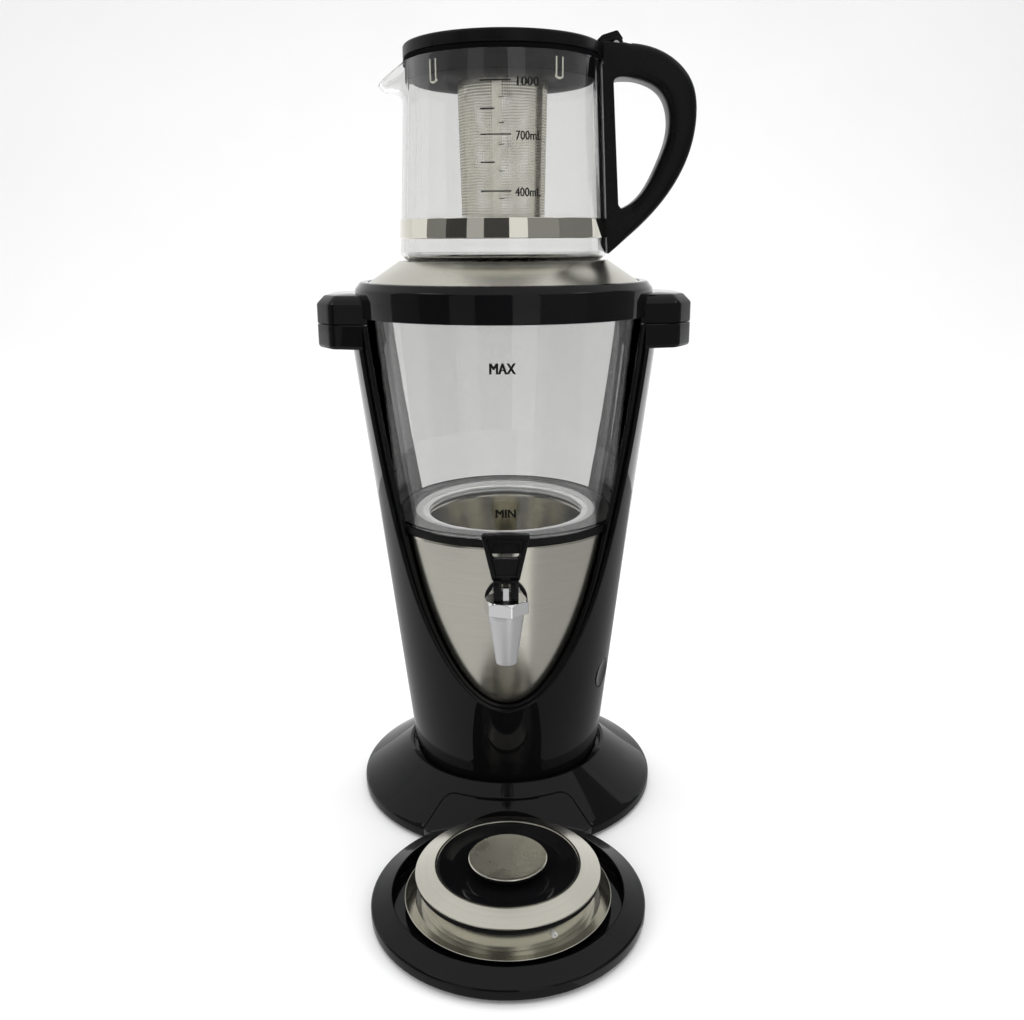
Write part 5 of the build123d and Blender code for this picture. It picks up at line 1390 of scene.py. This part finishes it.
def jug_shape(pot):
    """The jug with its pouring lip: an outer surface, the same one moved inwards, and a round rim between.

    Along the height the outer surface is the foot's corner and then the tapered wall. Near the front of
    the lip each wall point moves by bell(angle) times the way from the straight wall to the lip's own
    profile, where bell is (1 - (angle / width)^2)^2, which turns into a narrower pinch towards the rim.
    The inner surface lies a wall's thickness along the surface's normal, which is the cross product of
    the two gradients. The angles of the loops crowd together at the lip.
    """
    bell_width, pinch_width, lip_edge, more_floor, less_lip = 0.48, 0.36, 0.0022, 0.0005, 0.0004
    bottom, rim = low("teapot_glass")[2], pot.rim
    foot, start, corner = jug_radius(pot, bottom), pot.spout_root - 0.005, 0.006
    q = np.linspace(0, np.pi / 2, 9)
    floor = np.linspace(0, foot - corner, 12)
    rise = np.linspace(bottom + corner, start, 26)[1:]
    lip = np.linspace(0, 1, 26)[1:]
    r = np.concatenate([floor, foot - corner * (1 - np.sin(q[1:])), jug_radius(pot, rise)])
    z = np.concatenate([0 * floor + bottom, bottom + corner * (1 - np.cos(q[1:])), rise])
    upper = start + (rim - start) * lip
    plain = np.column_stack([jug_radius(pot, upper), upper])
    wall = jug_radius(pot, start)
    reach = pot.spout_reach - lip_edge - wall
    profile = [
        (wall, start),
        (wall - 0.0001, start + 0.0045),
        (wall + reach * 0.10, start + 0.0090),
        (wall + reach * 0.42, start + 0.0110),
        (wall + reach * 0.78, start + 0.0118),
        (wall + reach, pot.spout_tip - 0.0030),
    ]
    path = smooth_path(profile, (-pot.taper, 1), (0.8, 0.6), 26)[1:]
    t = np.linspace(-1, 1, 257)[:-1, None]
    away = np.pi * (0.22 * t + 0.78 * t**3)
    bell = np.clip(1 - (away / bell_width) ** 2, 0, 1) ** 2
    pinch = np.clip(1 - (away / pinch_width) ** 2, 0, 1) ** 1.5
    share = (1 - lip) * bell + lip * pinch
    r = np.concatenate([np.broadcast_to(r, (len(t), len(r))), plain[:, 0] + share * (path - plain)[:, 0]], 1)
    z = np.concatenate([np.broadcast_to(z, (len(t), len(z))), plain[:, 1] + share * (path - plain)[:, 1]], 1)
    outer = np.stack([-r * np.cos(away), -r * np.sin(away), z], -1)
    wide = np.concatenate([outer[-1:], outer, outer[:1]])
    normal = np.cross(np.gradient(wide, axis=0)[1:-1], np.gradient(outer, axis=1))
    size = np.linalg.norm(normal, axis=2, keepdims=True)
    normal = np.where(size > 1e-12, normal / np.maximum(size, 1e-12), [0, 0, -1])
    normal *= np.sign((normal[:, 30, :2] * outer[:, 30, :2]).sum())
    normal[:, 0] = (0, 0, -1)
    depth = pot.wall + more_floor * (z[..., None] < bottom + 0.001)
    depth = depth - less_lip * (share.max(1) > 0.1)[:, None, None]
    inner = outer - normal * depth
    edge = (outer[:, -1] + inner[:, -1]) / 2
    across = (outer[:, -1] - inner[:, -1]) / 2
    along = outer[:, -1] - outer[:, -2]
    along *= np.linalg.norm(across, axis=1)[:, None] / np.linalg.norm(along, axis=1)[:, None]
    bend = np.linspace(0, np.pi, 8)[None, 1:-1, None]
    brim = edge[:, None] + across[:, None] * np.cos(bend) + along[:, None] * np.sin(bend)
    loops = np.concatenate([outer, brim, inner[:, ::-1]], 1)
    return closed(loops)


def handle_paths(pot):
    """The handle's outer outline and the outline of the opening for the hand, as (x, height) loops.

    A point is a share of the handle's reach out from the jug's foot, and of its height.
    """
    box_low, box_high = low("teapot_handle"), high("teapot_handle")
    foot, reach, bottom, tall = pot.base_radius, box_high[0] - pot.base_radius, box_low[2], box_high[2] - box_low[2]

    def at(*places):
        return np.array([foot, bottom]) + np.array(places) * [reach, tall]

    spots = at((0.145, 1), (0.614, 0.955), (0.940, 0.816), (1, 0.669), (0.922, 0.475), (0.581, 0.226), (0.012, 0))
    outer = smooth_path(spots, (1, 0), (-1, -0.8), 120)
    back = box_low[0] - 0.002
    outer = np.concatenate([outer, resampled([outer[-1], (back, bottom), (back, outer[0, 1]), outer[0]], 120)[1:-1]])
    spots = at(
        (0.031, 0.828), (0.223, 0.838), (0.587, 0.767), (0.684, 0.633), (0.566, 0.437), (0.279, 0.251), (0.120, 0.212)
    )
    curve = smooth_path(spots, (0.8, 0.6), (-0.9, -0.5), 60)
    inner = rounded(curve, [0.003, *[0.0] * 58, 0.0025], 8)
    return outer, resampled(np.concatenate([inner, inner[:1]]), 200)[:-1]


def handle_shape(pot):
    """The handle: at each angle round the opening's middle, a rounded bar between its two outlines.

    The outline's side next to the jug keeps nearly square edges, and the grip's edges are round.
    """
    outer, inner = handle_paths(pot)
    middle = (inner.max(0) + inner.min(0)) / 2
    outer, inner = matched([outer, inner], [outer, inner], middle)
    start, run, least, more = 0.001, 0.012, 0.0010, 0.0040
    grip = np.clip((outer[:, 0] - pot.base_radius - start) / run, 0, 1)
    soft = least + more * (3 * grip**2 - 2 * grip**3)
    return plate_with_hole(outer, inner, pot.handle_half, soft[:, None])


def cone_round_jug(pot, grow):
    """A filled cone that stands a little outside the jug's face."""
    past = 0.03
    heights = np.array([low("teapot_glass")[2] - past, pot.rim + past])
    radii = jug_radius(pot, heights, -grow)
    return turned([(0, heights[0]), (radii[0], heights[0]), (radii[1], heights[1]), (0, heights[1])], steps=256)


class TEA_OT_jug(bpy.types.Operator):
    """Adds the teapot's glass jug with its pouring lip, and the polished band round it"""

    bl_idname = "tea.jug"
    bl_label = "Glass jug"

    def execute(self, context):
        pot = context.scene.tea_maker.teapot
        add_piece("jug", jug_shape(pot), "teapot", finish("jug_glass"), ["teapot_glass"], 50)
        bottom, top, play = pot.band_bottom, pot.band_top, 0.0001
        band = [
            (jug_radius(pot, bottom, -play), bottom, 0.0001),
            (jug_radius(pot, bottom, -pot.band_wall), bottom, 0.0004),
            (jug_radius(pot, top, -pot.band_wall), top, 0.0004),
            (jug_radius(pot, top, -play), top, 0.0001),
        ]
        band = lathe(band, steps=256)
        add_piece("jug_band", band, "teapot", finish("band_steel"), ["teapot_band"])
        return {"FINISHED"}


class TEA_OT_handle(bpy.types.Operator):
    """Adds the teapot's handle, hollowed to fit the jug, the lid and the hinge"""

    bl_idname = "tea.handle"
    bl_label = "Handle"

    def execute(self, context):
        pot = context.scene.tea_maker.teapot
        shape, black = handle_shape(pot), finish("satin_black")
        handle = add_piece("handle", shape, "teapot", black, ["teapot_handle"], 40)
        x, z, half, above = pot.hinge_x, pot.hinge_height, 0.0088, 0.02
        room, low_z, high_z = pot.lid + 0.0012, pot.lid_bottom - 0.004, pot.lid_top + above
        lid_room = lathe([(0, low_z), (room, low_z), (room, high_z), (0, high_z)])
        knuckle_room = rod(0.0096, (x, -half, z), (x, half, z), 0, 64)
        inner, floor = 0.03, z - 0.007
        slot = [(inner, floor), (x, floor), (x, z + above), (inner, z + above)]
        arm_room = sideways(prism(slot, 0, [(-half, 0), (half, 0)]))
        carve(handle, cone_round_jug(pot, pot.band_wall), lid_room, knuckle_room, arm_room, sharp=40)
        return {"FINISHED"}


class TEA_OT_pot_lid(bpy.types.Operator):
    """Adds the teapot's flat lid with its hinge arm and the thumb piece"""

    bl_idname = "tea.pot_lid"
    bl_label = "Teapot lid"

    def execute(self, context):
        pot = context.scene.tea_maker.teapot
        plug, bottom, top = pot.holder - 0.0027, pot.lid_bottom, pot.lid_top + 0.0012
        disc = lathe(
            [
                (0, top - 0.002),
                (plug - 0.0035, top - 0.002, 0.001),
                (plug - 0.002, top - 0.0035, 0.0008),
                (plug - 0.002, bottom - 0.0025, 0.0004),
                (plug, bottom - 0.0025, 0.0008),
                (plug, bottom, 0.0003),
                (pot.lid, bottom, 0.0008),
                (pot.lid, top, 0.0016),
                (pot.lid - 0.0075, top, 0.0004),
                (pot.lid - 0.0082, top - 0.0005, 0.0005),
                (0, top - 0.0002),
            ],
            arc=6,
        )
        x, z, half, inner, soft = pot.hinge_x, pot.hinge_height, 0.0085, pot.lid - 0.0044, 0.0008
        foot, arm_top = bottom + 0.00005, z + 0.0025
        side = [(inner, foot), (x, foot), (x, arm_top), (inner + 0.0035, arm_top), (inner, top - 0.0006)]
        arm = sideways(prism(side, [0, 0, 0, soft, soft], edge_levels(-half, half, 0.0004, 3)))
        shape = joined(disc, arm, rod(0.0044, (x, -half, z), (x, half, z), 0.0004, 48))
        add_piece("pot_lid", shape, "teapot_lid", finish("satin_black"), ["teapot_lid"])
        return {"FINISHED"}


# ---- infuser in the teapot ------------------------------------------------------------
def wrapped(shape, radius, lift=0.0):
    """A flat shape drawn in (x, height) with a thickness along Y, bent round the front of a wall.

    x becomes the angle x / r from the front, and the point lies r + lift - y from the axis.
    """
    points, quads = shape
    r = radius(points[:, 2])
    angle = points[:, 0] / r
    out = r + lift - points[:, 1]
    return np.column_stack([out * np.sin(angle), -out * np.cos(angle), points[:, 2]]), quads


def rib(path, width, depth):
    """A raised flat rib that follows an open (x, height) path on a wall's front face."""
    path = np.asarray(path, float)
    run = np.gradient(path, axis=0)
    run /= np.linalg.norm(run, axis=1)[:, None]
    side = np.column_stack([-run[:, 1], run[:, 0]]) * width / 2
    u = np.array([-1, -0.85, 0.85, 1, 1, -1])
    y = np.array([-0.5, -1, -1, -0.5, 0.5, 0.5]) * depth
    flat = path[:, None] + side[:, None] * u[None, :, None]
    loops = np.stack([flat[..., 0], np.broadcast_to(y, flat.shape[:2]), flat[..., 1]], -1)
    return tube(loops)


def basket_cells(basket, bottom, top):
    """The perforated wall: each cell is a frame of four strips round a square hole, on both faces and inside it.

    The cell's corners and the hole's corners are points (x, height) on a grid, bent round the axis. The
    first and last rows and two upright strips, beside the front's middle and the back's, have no holes.
    """
    front, back, share = (256.5, 270), (90, 103.5), 0.6
    rows, columns = basket.rows, basket.columns
    unit = np.array([(0, 0), (1, 0), (1, 1), (0, 1)], float)
    j, i = np.meshgrid(np.arange(columns), np.arange(rows))
    turn = 360 * (j + 0.5) / columns
    plain = (i == 0) | (i >= rows - 1)
    for first, last in (front, back):
        plain |= (turn > first) & (turn < last)
    corner = np.concatenate([unit, 0.5 + (unit - 0.5) * share])
    u = (j[..., None] + corner[:, 0]) / columns
    v = (i[..., None] + corner[:, 1]) / rows
    angle = 2 * np.pi * u
    radius = basket.bottom + (basket.top - basket.bottom) * v
    height = bottom + (top - bottom) * v
    both = np.stack([radius, radius - basket.sheet])
    points = np.stack([both * np.cos(angle), both * np.sin(angle), np.broadcast_to(height, both.shape)], -1)
    points = np.moveaxis(points, 0, 2)
    strip = np.array([(0, 1, 5, 4), (1, 2, 6, 5), (2, 3, 7, 6), (3, 0, 4, 7)])
    walls = np.array([(4, 5, 13, 12), (5, 6, 14, 13), (6, 7, 15, 14), (7, 4, 12, 15)])
    cell = np.concatenate([strip, strip[:, ::-1] + 8, walls])
    whole = np.array([(0, 1, 2, 3), (11, 10, 9, 8)])
    first = 16 * np.arange(rows * columns).reshape(rows, columns)[..., None, None]
    quads = [(cell + first[~plain]).reshape(-1, 4), (whole + first[plain]).reshape(-1, 4)]
    return points.reshape(-1, 3), np.concatenate(quads)


class TEA_OT_infuser(bpy.types.Operator):
    """Adds the black collar with its raised frame, four bright steel U ribs that stand for light through slits in the
    collar, and the perforated basket
    """

    bl_idname = "tea.infuser"
    bl_label = "Infuser"

    def execute(self, context):
        tea = context.scene.tea_maker
        pot, basket = tea.teapot, tea.filter
        outer, bore, floor, top = pot.holder, pot.holder - 0.002, pot.holder_floor, pot.lid_bottom - 0.0003
        flange, hole, rest, web = high("filter_holder")[0], basket.top + 0.0003, pot.rim + 0.0001, floor + 0.002

        def collar_face(z):
            return outer + 0 * z

        collar = [
            (hole, floor, 0.0003),
            (outer, floor, 0.0009),
            (outer, rest, 0.0002),
            (flange, rest, 0.0004),
            (flange, top, 0.0006),
            (bore, top, 0.0006),
            (bore, web, 0.0008),
            (hole, web, 0.0003),
        ]
        left, right, sill, lintel = -0.0122, 0.0150, floor + 0.0024, floor + 0.0072
        label = resampled([(left, sill), (left, lintel), (right, lintel), (right, sill)], 80)
        x, z = 0.0051, floor + 0.0049
        dot = np.array([x, -np.sqrt(outer**2 - x**2), z])
        dot = rod(0.0007, dot + [0, 0.0004, 0], dot - [0, 0.0003, 0], 0.0002, 24)
        shape = joined(lathe(collar), wrapped(rib(label, 0.0005, 0.0003), collar_face), dot)
        add_piece("infuser_collar", shape, "teapot", finish("collar_black"), ["filter_holder"])

        # four bright steel U ribs on the collar's face: painted light in place of light seen through U-shaped slits in
        # its wall
        bend, half, tall, slit_light_ribs = np.linspace(np.pi, 2 * np.pi, 13), 0.0021, 0.0070, []
        for turn, reach in ((-43, 0.0040), (34, 0.0028), (132, -0.0020), (228, -0.0020)):
            cup = np.column_stack([half * np.cos(bend), floor - reach + 0.0010 * np.sin(bend)])
            cup = [(-half, floor + tall), *cup, (half, floor + tall)] + np.array([np.radians(turn) * outer, 0])
            slit_light_ribs.append(wrapped(rib(resampled(cup, 50), 0.0011, 0.0005), collar_face, 0.0001))
        steel = finish("basket_steel")
        add_piece("infuser_clips", joined(*slit_light_ribs), "teapot", steel)

        bottom, neck, thin, hem = basket.floor + 0.0014, floor - 0.0004, basket.sheet, basket.top + 0.004
        cup = [
            (basket.bottom - thin, bottom),
            (basket.bottom, bottom),
            (basket.bottom, basket.floor + 0.0006, 0.0005),
            (basket.bottom - 0.0006, basket.floor, 0.0005),
            (0, basket.floor),
            (0, basket.floor + thin),
            (basket.bottom - thin - 0.0002, basket.floor + thin, 0.0003),
        ]
        rim = [
            (basket.top - thin, neck),
            (basket.top, neck),
            (basket.top, web, 0.0003),
            (hem, web, 0.0002),
            (hem, basket.rim, 0.0003),
            (basket.top - thin, basket.rim, 0.0006),
        ]
        turns = [lathe(corners, steps=basket.columns) for corners in (cup, rim)]
        shape = joined(basket_cells(basket, bottom, neck), *turns)
        add_piece("infuser_basket", shape, "teapot", steel, ["filter_basket"])
        return {"FINISHED"}


# ---- level marks ------------------------------------------------------------------------
INK = 0.00006  # thickness of the print


def letters(words, x, z, wide, tall, weight):
    """Words as a thin flat shape of a size round the middle (x, height).

    Three copies that lie a weight apart make the strokes bolder.
    """
    curve = bpy.data.curves.new("letters", "FONT")
    curve.body, curve.extrude, curve.resolution_u = words, 0.1, 3
    text = linked("letters", curve)
    mesh = evaluated(text)
    mesh.calc_loop_triangles()
    points, faces = np.empty(len(mesh.vertices) * 3), np.empty(len(mesh.loop_triangles) * 3, int)
    mesh.vertices.foreach_get("co", points)
    mesh.loop_triangles.foreach_get("vertices", faces)
    bpy.data.objects.remove(text)
    bpy.data.curves.remove(curve)
    bpy.data.meshes.remove(mesh)
    points, faces = points.reshape(-1, 3), faces.reshape(-1, 3)[:, [0, 1, 2, 2]]
    size, middle = np.ptp(points, axis=0), (points.max(0) + points.min(0)) / 2
    points = (points - middle) / size * [wide - 2 * weight, tall, INK]
    points = np.column_stack([points[:, 0] + x, -points[:, 2], points[:, 1] + z])
    return joined(*((points + [push, 0, 0], faces) for push in (-weight, 0, weight)))


def line(x_from, x_to, z, thick):
    """A level line of ink as a thin flat shape."""
    x = np.linspace(x_from, x_to, 10)
    return rib(np.column_stack([x, np.full(10, z)]), thick, INK)


class TEA_OT_level_marks(bpy.types.Operator):
    """Adds the printed level marks on the jug and the water tank"""

    bl_idname = "tea.level_marks"
    bl_label = "Level marks"

    def execute(self, context):
        tea = context.scene.tea_maker
        pot, tank = tea.teapot, tea.tank
        lift, start, bold, fine = 0.00003, -0.0124, 0.0007, 0.0004
        words = [("1000", 0.4482, 0.0140, 0.0122), ("700mL", 0.4206, 0.0144, 0.0146), ("400mL", 0.3910, 0.0140, 0.0148)]
        flat = [letters(text, x, z - 0.0005, wide, 0.0047, 0.00013) for text, z, x, wide in words]
        flat += [line(start, 0.0046, z, bold) for _, z, _, _ in words]
        flat += [line(start, -0.0044, z, bold) for z in (0.4338, 0.4061)]
        flat += [line(-0.0022, 0.0008, z, fine) for z in (0.4396, 0.4265, 0.4153, 0.4015, 0.3871)]
        marks = wrapped(joined(*flat), lambda z: jug_radius(pot, z), lift)
        add_piece("jug_marks", marks, "teapot", finish("level_print"), (), 20)

        def tank_face(z):
            share = (z - tank.bottom) / (tank.top - tank.bottom)
            return tank.bottom_radius + (tank.top_radius - tank.bottom_radius) * share

        most = letters("MAX", -0.0010, 0.2962, 0.0150, 0.0061, 0.00034)
        least = letters("MIN", 0.0002, 0.2108, 0.0120, 0.0052, 0.00028)
        marks = wrapped(joined(most, least), tank_face, lift)
        add_piece("tank_marks", marks, "base", finish("level_print"), (), 20)
        return {"FINISHED"}


# ---- studio -------------------------------------------------------------------
class TEA_OT_studio(bpy.types.Operator):
    """Adds the pale floor and wall, the soft lights, the glowing cards that paint bands into reflections, and the
    camera
    """

    bl_idname = "tea.studio"
    bl_label = "Studio"
    # glowing cards seen only in reflections, painted reflections of light and dark bands: first and last angle from the
    # front towards the right, in degrees, and their glow
    walls = [(-88, -62, 0.20), (-62, -38, 0.04), (-38, -20, 0.42), (-20, 6, 0.05), (25, 60, 0.26), (60, 110, 0.18)]
    floors = [(-150, -8, 0.62), (-8, 10, 0.55), (10, 24, 0.95), (24, 150, 0.42)]
    target = np.array([0, 0, 0.25])
    camera_turn = (74.7977, 0.2877, -0.4727)
    # name, place, width, height and power
    lamps = [
        ("left_light", (-1.3, -0.5, 1.0), 0.5, 1.4, 4.5),
        ("right_light", (1.3, -0.4, 0.9), 0.35, 1.4, 3.5),
        ("top_light", (0.0, 0.3, 2.0), 2.0, 1.6, 12),
        ("wall_light", (0.0, 0.8, 1.7), 2.6, 0.9, 14),
        ("tank_light", (0.0, 0.0, 0.32), 0.05, 0.05, 0.2),
    ]

    def execute(self, context):
        scene, studio = context.scene, context.scene.tea_maker.studio
        sweep, bend, reach, back, tall = np.linspace(0, np.pi / 2, 17), 0.8, 4.0, 2.2, 4.0
        y = np.concatenate([[-reach], back - bend + bend * np.sin(sweep), [back]])
        z = np.concatenate([[0], bend - bend * np.cos(sweep), [tall]])
        x = np.array([-reach, reach])[:, None]
        points = np.stack(np.broadcast_arrays(x, y[None], z[None]), -1).reshape(-1, 3)
        mesh = make_mesh("studio_floor", points, grid_quads(2, len(y)).reshape(-1, 4)[:, ::-1])
        mesh.materials.append(finish("studio_paper"))
        made = [linked("studio_floor", mesh)]
        for name, spot, wide, upright, power in self.lamps:
            lamp = bpy.data.lights.new(name, "AREA")
            lamp.shape, lamp.size, lamp.size_y, lamp.energy = "RECTANGLE", wide, upright, power
            light = linked(name, lamp)
            light.location = spot
            light.visible_glossy = name in ("left_light", "right_light")
            light.visible_camera = light.visible_transmission = False
            aim = self.target - spot
            turn = np.arctan2(aim[1], aim[0]) - np.pi / 2, np.arctan2(aim[2], np.hypot(aim[0], aim[1]))
            light.rotation_euler = Euler((np.pi / 2 + turn[1], 0, turn[0]))
            made.append(light)
        near, far, foot, head = 0.1, 0.75, 0.001, 0.9
        cards = [(*card, [far, far], [foot, head]) for card in self.walls]
        cards += [(*card, [near, far], [foot, foot]) for card in self.floors]
        # the cards glow but are hidden from the camera, from diffuse light and from shadows, so they only paint
        # reflections
        for index, (first, last, light, radii, heights) in enumerate(cards):
            turn = np.radians(np.linspace(first, last, 12))[:, None]
            points = np.stack(np.broadcast_arrays(np.sin(turn) * radii, -np.cos(turn) * radii, heights), -1)
            mesh = make_mesh(f"card_{index}", points.reshape(-1, 3), grid_quads(12, 2).reshape(-1, 4))
            mesh.materials.append(card_paper(light))
            card = linked(mesh.name, mesh)
            card.visible_camera = card.visible_diffuse = card.visible_transmission = card.visible_shadow = False
            made.append(card)
        world = bpy.data.worlds.new("studio_air")
        world.use_nodes = True
        air = world.node_tree.nodes["Background"].inputs
        air["Color"].default_value, air["Strength"].default_value = (1, 1, 1, 1), 0.85
        scene.world = world
        scene.view_settings.view_transform = "Standard"
        data = bpy.data.cameras.new("camera")
        data.lens, data.sensor_width, data.clip_start = studio.focal, 36.0, 0.01
        camera = linked("camera", data)
        camera.location = (0, -studio.distance, studio.height)
        camera.rotation_euler = Euler(np.radians(self.camera_turn))
        scene.camera = camera
        return {"FINISHED"}


class TEA_OT_inner_parts(bpy.types.Operator):
    """Gives every solid that is shown as it is its finish and softens the look of its round faces"""

    bl_idname = "tea.inner_parts"
    bl_label = "Inner parts"

    def execute(self, context):
        slots = {part["node"]: part["material_slot"] for part in frame["record"]["subparts"]}
        for name, node in frame["nodes"].items():
            if node.hide_render:
                continue
            slot = slots[name]
            node.data.materials.clear()
            node.data.materials.append(finish(*SLOT_FINISHES.get(slot, (slot,))))
            node.data.shade_smooth()
            weld = node.modifiers.new("weld", "WELD")
            weld.merge_threshold = 0.00001
            crease = node.modifiers.new("crease", "EDGE_SPLIT")
            crease.split_angle = np.radians(35)
        return {"FINISHED"}


OPERATORS = [
    operator for operator in bpy.types.Operator.__subclasses__() if operator.__name__.startswith("TEA_OT_")
]
SETTINGS = [
    FootSizes,
    TowerSizes,
    EarSizes,
    RingSizes,
    TankSizes,
    TapSizes,
    TraySizes,
    TankLidSizes,
    TeapotSizes,
    FilterSizes,
    FinishColours,
    StudioSettings,
    TeaMakerSettings,
]


class TEA_PT_parts(bpy.types.Panel):
    """Lists the pieces of the tea maker"""

    bl_label = "Tea maker"
    bl_idname = "TEA_PT_parts"
    bl_space_type = "VIEW_3D"
    bl_region_type = "UI"
    bl_category = "Tea maker"

    def draw(self, context):
        for operator in OPERATORS:
            self.layout.operator(operator.bl_idname)


def register():
    for kind in [*SETTINGS, *OPERATORS, TEA_PT_parts]:
        bpy.utils.register_class(kind)
    bpy.types.Scene.tea_maker = PointerProperty(type=TeaMakerSettings)


def unregister():
    del bpy.types.Scene.tea_maker
    for kind in [TEA_PT_parts, *reversed(OPERATORS), *reversed(SETTINGS)]:
        bpy.utils.unregister_class(kind)


def main():
    register()
    order = [operator for operator in OPERATORS if operator is not TEA_OT_inner_parts]
    for operator in [*order, TEA_OT_inner_parts]:
        group, name = operator.bl_idname.split(".")
        if getattr(getattr(bpy.ops, group), name)() != {"FINISHED"}:
            raise RuntimeError(f"{operator.bl_label} wasn't made")


if __name__ == "__main__":
    main()
